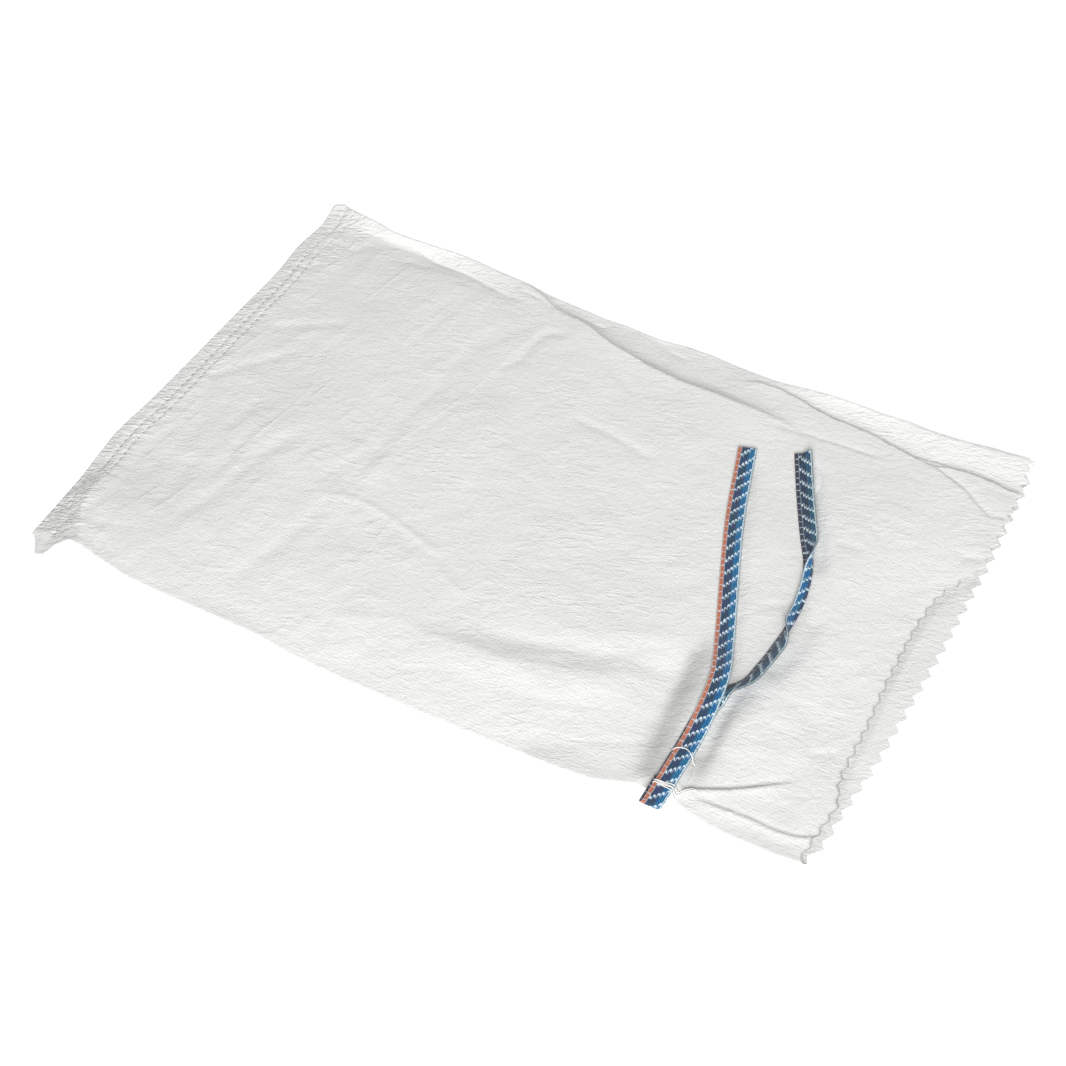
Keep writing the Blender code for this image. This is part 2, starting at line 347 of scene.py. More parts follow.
@dataclass(frozen=True)
class Wrinkling:
    """Small wrinkles scattered over one zone of the cloth, in one seeded order."""

    count: int
    seed: int
    corner: tuple
    opposite: tuple
    turn: float
    spread: float
    lengths: tuple
    widths: tuple
    height: float

    def rise(self, x: Array, y: Array) -> Array:
        """Return the scattered wrinkles' lift.

        Formula: each wrinkle is a slightly bent line; across it the lift
        is exp(-(d/w)^2), and along it (1 - s^2)^2 within its half length.

        Args:
            x: X of the points.
            y: Y of the points.

        Returns:
            The lift at each point.
        """
        random = np.random.default_rng(self.seed)
        total = np.zeros(np.shape(x))
        for _ in range(self.count):
            middle = random.uniform(self.corner, self.opposite)
            turn = radians(random.normal(self.turn, self.spread))
            half = random.uniform(*self.lengths) / 2
            width = random.uniform(*self.widths)
            bend = random.normal(0.0, 1.0) * 0.06 / half
            height = self.height * random.choice((-1.0, 0.8)) * random.uniform(0.3, 1.0)
            ahead = (x - middle[0]) * cos(turn) + (y - middle[1]) * sin(turn)
            aside = (y - middle[1]) * cos(turn) - (x - middle[0]) * sin(turn)
            aside = aside - bend * ahead**2
            ends = np.clip(1.0 - (ahead / half) ** 2, 0.0, None) ** 2
            total += height * ends * np.exp(-((aside / width) ** 2))
        return total


WRINKLING = (
    Wrinkling(70, 11, (-0.295, -0.200), (-0.080, 0.160), 78.0, 11.0,
              (0.040, 0.110), (0.0034, 0.0048), 0.00052),
    Wrinkling(60, 12, (-0.295, -0.200), (0.050, 0.170), 55.0, 25.0,
              (0.020, 0.060), (0.0032, 0.0050), 0.00034),
    Wrinkling(110, 13, (-0.080, -0.200), (0.295, 0.150), 35.0, 28.0,
              (0.018, 0.065), (0.0030, 0.0050), 0.00036),
    Wrinkling(26, 14, (-0.080, -0.190), (0.250, -0.080), 12.0, 12.0,
              (0.040, 0.110), (0.0040, 0.0070), 0.00055),
)


@dataclass(frozen=True)
class Crumple:
    """Faint flat facets, as handled plastic cloth keeps them."""

    cells: int = 420
    seed: int = 5
    stretch: float = 1.5
    angle: float = radians(35.0)
    depth: float = 0.00035
    reach: float = 0.007

    def rise(self, x: Array, y: Array) -> Array:
        """Return the facets' lift.

        Formula: the gap g between the distances to the nearest and the
        second nearest of scattered points; the lift is -exp(-g/reach), a
        sharp line where facets meet.

        Args:
            x: X of the points.
            y: Y of the points.

        Returns:
            The lift at each point.
        """
        random = np.random.default_rng(self.seed)
        spots = random.uniform((-0.33, -0.23), (0.33, 0.23), (self.cells, 2))
        weights = random.uniform(0.3, 1.0, self.cells)
        u = x * cos(self.angle) + y * sin(self.angle)
        v = (y * cos(self.angle) - x * sin(self.angle)) * self.stretch
        first = np.full(np.shape(x), np.inf)
        second = np.full(np.shape(x), np.inf)
        weight = np.ones(np.shape(x))
        for spot, share in zip(spots, weights):
            spot_u = spot[0] * cos(self.angle) + spot[1] * sin(self.angle)
            spot_v = (spot[1] * cos(self.angle) - spot[0] * sin(self.angle)) * self.stretch
            gap = np.hypot(u - spot_u, v - spot_v)
            nearer = gap < first
            second = np.where(nearer, first, np.minimum(second, gap))
            weight = np.where(nearer, share, weight)
            first = np.where(nearer, gap, first)
        return -self.depth * weight * np.exp(-(second - first) / self.reach)


# The bag's shape


@dataclass(frozen=True)
class FarLap:
    """A crease line along the far side and the cloth beyond it, as curves over X.

    The line is given by its Y, the share by which it shows, the height of
    the rim at the line, and the height that the cloth falls to beyond it.
    """

    line: Points
    share: Points
    rim: Points
    floor: Points
    soft: float
    fall: float
    least_width: float = 0.002

    def shape(self, x: Array, y: Array, far: Array, edge: Array, height: Array) -> Array:
        """Lay the crease over a height field.

        Formula: before the line the height nears the rim's with exp(-d/soft).
        Beyond it, the height goes in a straight line from the floor's to
        the far edge's, plus the rise to the rim times exp(-d/fall).

        Args:
            x: X of the points.
            y: Y of the points.
            far: Y of the far edge there.
            edge: height of the far edge there.
            height: the height there so far.

        Returns:
            The new height at each point.
        """
        line = curve_through(self.line, x)
        rim = curve_through(self.rim, x)
        floor = curve_through(self.floor, x)
        past = y - line
        panel = height + (rim - height) * np.exp(-np.maximum(-past, 0.0) / self.soft)
        way = np.clip(past / np.maximum(far - line, self.least_width), 0.0, 1.0)
        ridge = (rim - floor) * np.exp(-np.maximum(past, 0.0) / self.fall)
        beyond = floor + (edge - floor) * way + ridge * (1 - way)
        laid = np.where(past > 0, beyond, panel)
        return height + (laid - height) * curve_through(self.share, x)


# Traced lines that both the far laps and the rows of the mesh follow
HEM_VALLEY = metres((-318, 184), (-297, 187.5), (-283, 190), (-252, 189.2), (-237, 190.5), (-226, 190.3),
                    (-213, 188.5), (-203, 185.8), (-193, 183.6), (-171, 182.2), (-148, 178.8),
                    (-129, 175.5), (-111, 173.8))
PANEL_EDGE = metres((-72.6, 175.4), (-62.7, 173), (-50.5, 169), (-37.9, 163.5), (-27.7, 160),
                    (-16.3, 157.3), (-0.3, 154.4), (15.3, 152.1), (30.7, 150.2), (59.3, 149.4),
                    (88.1, 148.3))
STRIP_EDGE = metres((76.8, 174.8), (86.3, 177), (100, 176.8), (117.5, 174.2), (130, 171.7), (155, 167),
                    (175.3, 165.6), (196.2, 162.4), (215.7, 158.5), (233.1, 155.8), (248, 159.3),
                    (262.3, 160.4), (280, 160.2), (292.3, 158.2), (303.6, 158.9))
HEM_VALLEY_HEIGHT = metres((-318, 2), (-300, 2.4), (-283, 3.2), (-250, 4.6), (-200, 5.4), (-150, 6),
                           (-100, 7))

FAR_LAPS = (
    # The valley before the raised strip of the hem half
    FarLap(
        line=HEM_VALLEY + metres((-98.7, 171.8), (-80, 169)),
        share=((-0.318, 1.0), (-0.130, 1.0), (-0.085, 0.0), (0.310, 0.0)),
        rim=HEM_VALLEY_HEIGHT,
        floor=HEM_VALLEY_HEIGHT,
        soft=0.009, fall=0.004),
    # The edge of the panel, from the crossing to above the tie band
    FarLap(
        line=metres((-125, 196), (-115, 191.5), (-98.4, 184.7), (-86.3, 178.3)) + PANEL_EDGE
        + metres((102.3, 147.7), (116.9, 146.3), (142.8, 143.9), (160, 143)),
        share=((-0.318, 0.0), (-0.122, 0.0), (-0.110, 1.0), (0.105, 1.0), (0.150, 0.0), (0.310, 0.0)),
        rim=metres((-120, 8.5), (-80, 9.5), (-50, 10.7), (50, 11), (100, 10.3), (150, 9.6)),
        floor=metres((-120, 7), (-90, 5.5), (-50, 5.6), (50, 5.8), (100, 6.6), (150, 8.5)),
        soft=0.018, fall=0.0055),
    # The edge before the raised strip of the mouth half
    FarLap(
        line=metres((60, 173.5)) + STRIP_EDGE,
        share=((-0.318, 0.0), (0.070, 0.0), (0.090, 1.0), (0.310, 1.0)),
        rim=metres((70, 7), (90, 8), (120, 9.2), (160, 9.8), (310, 10)),
        floor=metres((70, 5.5), (90, 4.8), (120, 4.6), (200, 4.6), (310, 4.6)),
        soft=0.010, fall=0.0035),
)


@dataclass(frozen=True)
class BagShape:
    """Outline and heights of the bag, as smooth curves and height fields."""

    wall: float = 0.0004
    plateau: float = 0.0095
    near_power: float = 1.3
    hem_rise: float = 0.115
    mouth_drop: float = 0.0070
    hem_edge_height: float = 0.0010
    tooth_depth: float = 0.0047
    # The least gap between the layers, and how softly the upper one comes to it
    layer_gap: float = 0.0010
    layer_soft: float = 0.0012
    # How far inside the near edge a thread or a band reads the cloth's height
    edge_margin: float = 0.002
    near_reach: Points = metres((-318, 60), (80, 60), (135, 82), (215, 82), (260, 60), (310, 60))
    near_line: Points = metres((-318, -196), (-311, -197), (-305, -204), (-299, -212), (-293, -211),
        (-287, -201), (-279, -194.5), (-252.9, -198.5), (-224.1, -203.3), (-191.2, -204.5),
        (-157.6, -204.3), (-122.9, -204), (-89.9, -206.5), (-52.9, -208), (38.7, -208.2), (66.6, -208),
        (103, -206.5), (139, -204), (158, -197.5), (174.4, -193), (187, -192.5), (201, -196.5),
        (216, -200), (237, -203), (266, -203), (287, -201), (300, -197), (312, -193))
    far_line: Points = metres((-318, 203.5), (-304, 204.5), (-299.3, 206.2), (-292.9, 208.5),
        (-287.9, 206.8), (-270.3, 202.5), (-253.6, 198.9), (-238.3, 195.2), (-219.8, 194.6),
        (-199.8, 194.7), (-182.4, 195.7), (-164, 195.5), (-143.2, 194.4), (-126.6, 194.1),
        (-113.1, 193.3), (-98, 191.4), (-84.3, 191.1), (-62, 190.3), (-46.4, 189.2), (-32.5, 189.8),
        (-17, 189), (-1.7, 188.2), (11.6, 189.4), (25.3, 190.9), (40, 190.9), (55, 189.8), (70, 188.5),
        (84.7, 187.3), (99.2, 186.4), (112.8, 186.7), (122.9, 187.3), (146, 187.1), (166, 186.8),
        (186, 186.3), (203.3, 187.2), (220.5, 186.5), (236.6, 187), (251.1, 188.1), (267.5, 190.6),
        (279.3, 191.7), (296.5, 194.2), (312, 196))
    hem_line: Points = metres((-215, -305), (-195, -312), (-143, -312), (-109, -314), (-90, -315),
        (-46, -311), (17, -307), (69, -304), (122, -301), (151, -302), (188, -298.2), (210, -299.5))
    mouth_low: Points = metres((-200, 293), (-181, 299), (-160, 300), (-138, 301.5), (-110, 304),
        (-44, 306), (19, 307), (80, 307), (139, 305.5), (179, 303.5), (206, 299))
    mouth_top: Points = metres((-200, 289.5), (-170, 292.5), (-153, 294), (-141, 290), (-127, 286.8),
        (-88, 286.2), (-45, 283.6), (4, 282.6), (30, 284), (50, 289), (66, 298), (84, 305.5),
        (139, 305), (179, 302), (206, 296))
    # Width and inner height of the hem strip, over Y: it turns up at the near corner
    strip_width: Points = metres((-215, 43), (-197, 40), (-187, 34.5), (-173, 26.5), (-161, 21.5),
        (-148, 18.8), (-130, 18.1), (215, 18.1))
    strip_height: Points = metres((-215, 10.5), (-185, 11.5), (-165, 11.2), (-148, 9.8), (-130, 7.2),
        (-112, 4.4), (-90, 3), (215, 2.6))
    # Two lines that rows of the mesh follow along the far creases, as Y over X
    inner_guide: Points = HEM_VALLEY + metres(
        (-103.5, 174.2), (-97, 177.5), (-88, 178.5)) + PANEL_EDGE + metres(
        (116.9, 146.3), (142.8, 143.9), (165, 143.8), (195, 145.5), (220, 151), (235, 153),
        (248, 150.3), (266, 143), (280, 134.5), (290, 129.5), (304, 131))
    outer_guide: Points = metres(
        (-318, 194), (-290, 198.5), (-250, 194), (-200, 190), (-150, 187), (-127.5, 189),
        (-112, 188.5), (-98.4, 186), (-88, 184), (-70, 181.5), (-40, 177.5), (0, 174.5),
        (50, 173.8)) + STRIP_EDGE
    near_height: Points = metres((-318, 1.5), (-309, 2), (-298, 3.6), (-288, 8), (-279, 10.5),
        (-265, 10), (-240, 9.2), (-190, 8.4), (-160, 7.4), (-120, 5.6), (-90, 4.1), (-50, 2.8),
        (310, 2.4))
    far_height: Points = metres((-318, 4), (-303.5, 6), (-288, 7.5), (-270, 9.5), (-254, 10.5),
        (-238, 11.5), (-220, 12), (-180, 11.6), (-150, 9.8), (-126.6, 8.4), (-113, 7.4), (-98, 6.1),
        (-84, 5.3), (-60, 4.5), (60, 4.5), (100, 7), (123, 9.5), (146, 12), (190, 13), (267.5, 13),
        (296.5, 12), (310, 11.5))
    # How far past those lines the cloth's outer faces run
    near_out: float = 0.0030
    hem_out: float = 0.0018
    curl: float = 0.0022
    curl_reach: float = 0.016
    crumple: Crumple = Crumple()

    def near(self, x: Array) -> Array:
        """Return Y of the near edge, a smooth curve over X."""
        return curve_through(self.near_line, x) - self.near_out

    def far(self, x: Array) -> Array:
        """Return Y of the far edge, a smooth curve over X."""
        return curve_through(self.far_line, x)

    def hem(self, y: Array) -> Array:
        """Return X of the hem's outer edge, a smooth curve over Y."""
        return curve_through(self.hem_line, y) - self.hem_out

    def upper(self, x: Array, y: Array) -> Array:
        """Return the height of the upper layer's top face.

        Formula: a plateau that falls to the near edge, as 1 less a power of
        the share left, and down to the hem, with the far laps laid over it;
        plus the creases, wrinkles and facets, which fade at the edges. A
        smooth maximum, (g + sqrt(g^2 + s^2)) / 2, keeps it off the lower
        layer.

        Args:
            x: X of the points.
            y: Y of the points.

        Returns:
            The height at each point.
        """
        x = np.asarray(x, float)
        y = np.asarray(y, float)
        from_hem = x - self.hem(y)
        row = curve_through(self.strip_height, y)
        past_strip = from_hem - curve_through(self.strip_width, y)
        flat = row + (self.plateau - row) * smooth_step(past_strip, 0.0, self.hem_rise)
        flat = flat - self.mouth_drop * smooth_step(x, 0.200, 0.285) * (1.0 - smooth_step(y, 0.020, 0.100))
        strip = np.clip(from_hem / (from_hem - past_strip), 0.0, 1.0)
        flat = np.where(past_strip < 0, self.hem_edge_height + (row - self.hem_edge_height) * strip, flat)
        inside = np.clip((y - self.near(x)) / curve_through(self.near_reach, x), 0.0, 1.0)
        edge = curve_through(self.near_height, x)
        height = edge + (flat - edge) * (1.0 - (1.0 - inside) ** self.near_power)
        far = self.far(x)
        for lap in FAR_LAPS:
            height = lap.shape(x, y, far, curve_through(self.far_height, x), height)
        detail = sum(crease.rise(x, y) for crease in CREASES)
        fine = sum(wrinkles.rise(x, y) for wrinkles in WRINKLING) + self.crumple.rise(x, y)
        fine = fine + 0.0009 * lattice_noise(x, y, 0.060, 3) + 0.00035 * lattice_noise(x, y, 0.022, 4)
        calm = smooth_step(y - self.near(x), 0.0, 0.012) * smooth_step(past_strip, -0.012, 0.014)
        side = smooth_step(far - y, 0.0, 0.004)
        past_outer = y - curve_through(self.outer_guide, x)
        streaks = 0.00025 * lattice_noise(x, y * 0.45, 0.007, 9) * smooth_step(past_outer, -0.004, 0.004)
        fine = (fine + streaks) * side
        height = height + detail * smooth_step(y - self.near(x), 0.0, 0.006) + fine * calm
        floor = self.lower(x, y) + self.layer_gap
        gap = height + self.hem_relief(from_hem, y) - floor
        return floor + (gap + np.hypot(gap, self.layer_soft)) / 2

    def hem_relief(self, from_hem: Array, y: Array) -> Array:
        """Return the grooves under the two seams and the puckers across them.

        Formula: two round grooves, and lattice waves along Y that fan out
        from the inner seam and die away in 20 mm.

        Args:
            from_hem: distance from the hem's outer edge.
            y: Y of the points.

        Returns:
            The lift at each point.
        """
        grooves = sum(np.exp(-(((from_hem - row) / 0.0013) ** 2)) for row in HEM_ROWS)
        fan = y - 0.25 * from_hem
        slow = from_hem * 0.12
        pucker = lattice_noise(fan, slow, 0.0046, 21) + 0.6 * lattice_noise(fan, slow, 0.0085, 22)
        past_strip = from_hem - curve_through(self.strip_width, y)
        zone = smooth_step(from_hem, -0.001, 0.006) * np.exp(-np.maximum(past_strip, 0.0) / 0.011)
        corner = 1.0 - smooth_step(y, -0.135, -0.120)
        on_strip = (past_strip < 0) * smooth_step(y, -0.204, -0.194)
        crumple = lattice_noise(from_hem + 0.4 * y, y, 0.0048, 23) * on_strip
        return zone * (0.00050 * pucker + corner * 0.0009 * crumple) - 0.0008 * grooves * (1.0 - corner)

    def lower(self, x: Array, y: Array) -> Array:
        """Return the height of the lower layer's underside.

        Formula: flat, with low waves at the mouth, and curled up along both
        sides in smooth steps to just under the side edges' heights.

        Args:
            x: X of the points.
            y: Y of the points.

        Returns:
            The height at each point.
        """
        waves = 0.0007 * smooth_step(x, 0.255, 0.300) * (1.0 + lattice_noise(x, y * 1.6, 0.030, 8))
        far = np.maximum(curve_through(self.far_height, x) - self.curl, 0.0)
        near = np.maximum(curve_through(self.near_height, x) - self.curl, 0.0)
        far = far * smooth_step(y - self.far(x), -self.curl_reach, 0.0) ** 1.5
        return waves + far + near * smooth_step(self.near(x) - y, -self.curl_reach, 0.0) ** 1.5

    def mouth(self, y: Array, is_upper: bool, tooth: Array) -> Array:
        """Return X of the mouth's edge with its pinked teeth.

        Formula: a smooth curve over Y, less the tooth depth times the
        tooth share, which runs from 0 at a tip to 1 in a notch.

        Args:
            y: Y along the edge.
            is_upper: whether this is the upper layer.
            tooth: share of the way from a tip to a notch.

        Returns:
            The edge's X at each Y.
        """
        line, depth = self.mouth_low, self.tooth_depth
        if is_upper:
            line, depth = self.mouth_top, depth * (0.6 + 0.4 * smooth_step(y, 0.030, 0.080))
        return curve_through(line, y) - depth * tooth

    def rest_height(self, x: Array, y: Array, half: float) -> Array:
        """Return the highest cloth under a band's width, read at five spots across it."""
        inside = np.maximum(y, self.near(x) + self.edge_margin)
        return np.max([self.upper(x + share * half, inside) for share in (-1, -0.5, 0, 0.5, 1)], axis=0)


# How far inside the hem's edge the two seams run, and the length of a stitch
HEM_ROWS = (0.0111, 0.0181)
STITCH = 0.0062


# Meshes


def add_piece(name: str, places: Array, faces: list, finish: Material,
              smooth: float | None = None) -> Piece:
    """Make an object from vertex places and faces.

    Args:
        name: the piece's name.
        places: vertex places, one row each.
        faces: vertex numbers of each face.
        finish: the material it wears.
        smooth: angle in radians above which edges stay sharp, or None.

    Returns:
        The new object, linked at the origin.
    """
    data = bpy.data.meshes.new(name)
    data.from_pydata(places.tolist(), [], faces)
    data.materials.append(finish)
    data.shade_smooth()
    if smooth is not None:
        data.set_sharp_from_angle(angle=smooth)
    item = bpy.data.objects.new(name, data)
    bpy.context.scene.collection.objects.link(item)
    return item


def set_numbers(item: Piece, name: str, values: Array) -> None:
    """Store one number per vertex as a named attribute."""
    layer = item.data.attributes.new(name, "FLOAT", "POINT")
    layer.data.foreach_set("value", np.asarray(values, np.float32).ravel())


def set_uv(item: Piece, per_vertex: Array) -> None:
    """Give the piece a UV map from one (u, v) pair per vertex."""
    layer = item.data.uv_layers.new(name="along")
    corners = np.zeros(len(item.data.loops), np.int32)
    item.data.loops.foreach_get("vertex_index", corners)
    layer.data.foreach_set("uv", per_vertex[corners].astype(np.float32).ravel())


def ring_faces(rings: int, around: int, first: int = 0) -> Array:
    """Return quads that join closed rings in turn.

    Formula: each quad has its ring's vertices i and i + 1 and the next
    ring's same two, the last joining the first.

    Args:
        rings: number of rings.
        around: vertices in each ring.
        first: number of the first vertex.

    Returns:
        Vertex numbers of the quads, one row each.
    """
    ring = np.arange(rings - 1)[:, None] * around
    spot = np.arange(around)[None, :]
    after = (spot + 1) % around
    quads = np.stack([ring + spot, ring + after, ring + around + after, ring + around + spot], axis=-1)
    return quads.reshape(-1, 4) + first


def cap_faces(around: int, low_count: int, y: Array) -> Array:
    """Return triangles that close a flat ring between its lower and upper rows.

    Formula: both rows of points are walked along Y together; each step on
    one row makes a triangle with the point reached on the other.

    Args:
        around: points in the ring, which starts with the lower row.
        low_count: points in the lower row.
        y: Y of the ring's points.

    Returns:
        Vertex numbers of the triangles, facing away from the next ring.
    """
    low = np.arange(low_count)
    high = np.arange(around - 1, low_count - 1, -1)
    low_key = np.maximum.accumulate((y[low[1:]] + y[low[:-1]]) / 2)
    high_key = np.maximum.accumulate((y[high[1:]] + y[high[:-1]]) / 2)
    on_high = np.stack([high[:-1], high[1:], low[np.searchsorted(low_key, high_key)]], axis=1)
    on_low = np.stack([low[1:], low[:-1], high[np.searchsorted(high_key, low_key, side="right")]], axis=1)
    return np.concatenate((on_high, on_low))


def signed_volume(places: Array, faces: list) -> float:
    """Return six times the volume inside the faces, negative where they face inwards."""
    total = 0.0
    for size in sorted({len(face) for face in faces}):
        group = np.array([face for face in faces if len(face) == size])
        for corner in range(1, size - 1):
            a, b, c = places[group[:, 0]], places[group[:, corner]], places[group[:, corner + 1]]
            total += float(np.einsum("ij,ij->", a, np.cross(b, c)))
    return total


def outward(places: Array, faces: list) -> list:
    """Return the faces of a closed shell, turned round if they face inwards."""
    if signed_volume(places, faces) < 0:
        return [tuple(face)[::-1] for face in faces]
    return faces


# Node helpers


class Nodes:
    """Adds and joins the nodes of one tree."""

    def __init__(self, tree: bpy.types.NodeTree) -> None:
        """Keep the tree."""
        self.tree = tree

    def add(self, kind: str, **settings: object) -> bpy.types.Node:
        """Add a node and set its plain properties."""
        node = self.tree.nodes.new(kind)
        for name, value in settings.items():
            setattr(node, name, value)
        return node

    def join(self, source: Socket, target: Socket) -> None:
        """Join two sockets."""
        self.tree.links.new(source, target)

    def math(self, operation: str, *inputs: object, clamp: bool = False) -> Socket:
        """Add a Math node.

        Args:
            operation: the node's operation.
            inputs: sockets or numbers, in order.
            clamp: whether the result stays between 0 and 1.

        Returns:
            The node's result socket.
        """
        node = self.add("ShaderNodeMath", operation=operation, use_clamp=clamp)
        for socket, value in zip(node.inputs, inputs):
            self.feed(value, socket)
        return node.outputs[0]

    def times(self, first: object, second: object) -> Socket:
        """Multiply two values."""
        return self.math("MULTIPLY", first, second)

    def plus(self, first: object, second: object) -> Socket:
        """Add two values."""
        return self.math("ADD", first, second)

    def less(self, first: object, second: object) -> Socket:
        """Take the second value from the first."""
        return self.math("SUBTRACT", first, second)

    def times_plus(self, first: object, second: object, third: object) -> Socket:
        """Multiply two values and add a third."""
        return self.math("MULTIPLY_ADD", first, second, third)

    def feed(self, value: object, socket: Socket) -> None:
        """Join a socket to another, or set its number."""
        if isinstance(value, Socket):
            self.join(value, socket)
        else:
            socket.default_value = value

    def split(self, vector: Socket) -> tuple[Socket, ...]:
        """Return the X, Y and Z of a vector."""
        node = self.add("ShaderNodeSeparateXYZ")
        self.join(vector, node.inputs[0])
        return node.outputs[0], node.outputs[1], node.outputs[2]

    def mix(self, share: object, low: object, high: object) -> Socket:
        """Blend two colours by a share.

        Args:
            share: socket or number from 0 to 1.
            low: colour or socket at 0.
            high: colour or socket at 1.

        Returns:
            The blended colour's socket.
        """
        node = self.add("ShaderNodeMix", data_type="RGBA")
        self.feed(share, node.inputs["Factor"])
        self.feed(low, node.inputs[6])
        self.feed(high, node.inputs[7])
        return node.outputs[2]

    def noise(self, vector: Socket, scale: float, detail: float = 3.0,
              distortion: float = 0.0) -> Socket:
        """Add a noise texture and return its grey value."""
        node = self.add("ShaderNodeTexNoise")
        self.join(vector, node.inputs["Vector"])
        node.inputs["Scale"].default_value = scale
        node.inputs["Detail"].default_value = detail
        node.inputs["Distortion"].default_value = distortion
        return node.outputs["Fac"]

    def step(self, value: object, low: float, high: float) -> Socket:
        """Rise smoothly from 0 at low to 1 at high."""
        node = self.add("ShaderNodeMapRange", interpolation_type="SMOOTHSTEP")
        self.feed(value, node.inputs["Value"])
        node.inputs["From Min"].default_value = low
        node.inputs["From Max"].default_value = high
        return node.outputs["Result"]

    def band(self, value: object, middle: float, half: float, soft: float) -> Socket:
        """Return 1 within half of the middle and 0 outside, with a soft edge."""
        gap = self.math("ABSOLUTE", self.less(value, middle))
        return self.less(1.0, self.step(gap, half - soft, half + soft))

    def attribute(self, name: str) -> Socket:
        """Return the number that the mesh keeps under a name."""
        return self.add("ShaderNodeAttribute", attribute_name=name).outputs["Fac"]

    def bump(self, height: Socket, strength: float, shader: bpy.types.Node) -> None:
        """Tilt the shader's normal by a height in metres."""
        node = self.add("ShaderNodeBump")
        node.inputs["Strength"].default_value = strength
        node.inputs["Distance"].default_value = 1.0
        self.join(height, node.inputs["Height"])
        self.join(node.outputs["Normal"], shader.inputs["Normal"])


def new_material(name: str) -> tuple[Material, Nodes, bpy.types.Node]:
    """Make a material and return it with its nodes and its shader."""
    material = bpy.data.materials.new(name)
    material.use_nodes = True
    return material, Nodes(material.node_tree), material.node_tree.nodes["Principled BSDF"]


def new_group(name: str, inputs: dict[str, tuple[str, object]],
              outputs: dict[str, str]) -> bpy.types.NodeTree:
    """Make an empty shader node group with named sockets.

    Args:
        name: the group's name.
        inputs: socket type and default of each input.
        outputs: socket type of each output.

    Returns:
        The group.
    """
    group = bpy.data.node_groups.new(name, "ShaderNodeTree")
    for label, (kind, default) in inputs.items():
        socket = group.interface.new_socket(label, in_out="INPUT", socket_type=kind)
        if default is not None:
            socket.default_value = default
    for label, kind in outputs.items():
        group.interface.new_socket(label, in_out="OUTPUT", socket_type=kind)
    group.nodes.new("NodeGroupInput")
    group.nodes.new("NodeGroupOutput")
    return group


class TapeWeave:
    """Plain weave of flat tapes: one node group that puts out height, tone and pin holes."""

    def __init__(self) -> None:
        """Build the group.

        Formula: in each square of the lattice one tape lies over the other,
        by turns. Its height is 1 less the fourth power of the offset across
        it, less part of the square of the offset along it.
        """
        self.tree = new_group(
            "tape weave",
            {"Place": ("NodeSocketVector", None), "Tapes per metre": ("NodeSocketFloat", 400.0)},
            {"Height": "NodeSocketFloat", "Tone": "NodeSocketFloat", "Hole": "NodeSocketFloat"},
        )
        nodes = Nodes(self.tree)
        given = self.tree.nodes["Group Input"]
        x, y, _ = nodes.split(given.outputs["Place"])
        u = nodes.times(x, given.outputs["Tapes per metre"])
        v = nodes.times(y, given.outputs["Tapes per metre"])
        row = nodes.math("FLOOR", u)
        column = nodes.math("FLOOR", v)
        across = nodes.times_plus(nodes.less(u, row), 2.0, -1.0)
        along = nodes.times_plus(nodes.less(v, column), 2.0, -1.0)
        turn = nodes.math("PINGPONG", nodes.plus(row, column), 1.0)
        over = self.tape(nodes, across, along)
        under = self.tape(nodes, along, across)
        other = nodes.less(1.0, turn)
        height = nodes.plus(nodes.times(over, turn), nodes.times(under, other))
        corner = nodes.times(nodes.math("ABSOLUTE", across), nodes.math("ABSOLUTE", along))
        tone = nodes.plus(self.shade(nodes, row, turn), self.shade(nodes, nodes.plus(column, 71.5), other))
        output = self.tree.nodes["Group Output"]
        nodes.join(height, output.inputs["Height"])
        nodes.join(tone, output.inputs["Tone"])
        nodes.join(nodes.step(corner, 0.72, 0.95), output.inputs["Hole"])

    @staticmethod
    def tape(nodes: Nodes, across: Socket, along: Socket) -> Socket:
        """Return one tape's height from its offsets across and along."""
        edge = nodes.math("POWER", nodes.math("ABSOLUTE", across), 4.0)
        dip = nodes.times(nodes.times(along, along), 0.45)
        return nodes.less(nodes.less(1.0, edge), dip)

    @staticmethod
    def shade(nodes: Nodes, number: Socket, share: Socket) -> Socket:
        """Return a random tone for the tape with this number, times its share."""
        node = nodes.add("ShaderNodeTexWhiteNoise", noise_dimensions="1D")
        nodes.join(number, node.inputs["W"])
        return nodes.times(node.outputs["Value"], share)


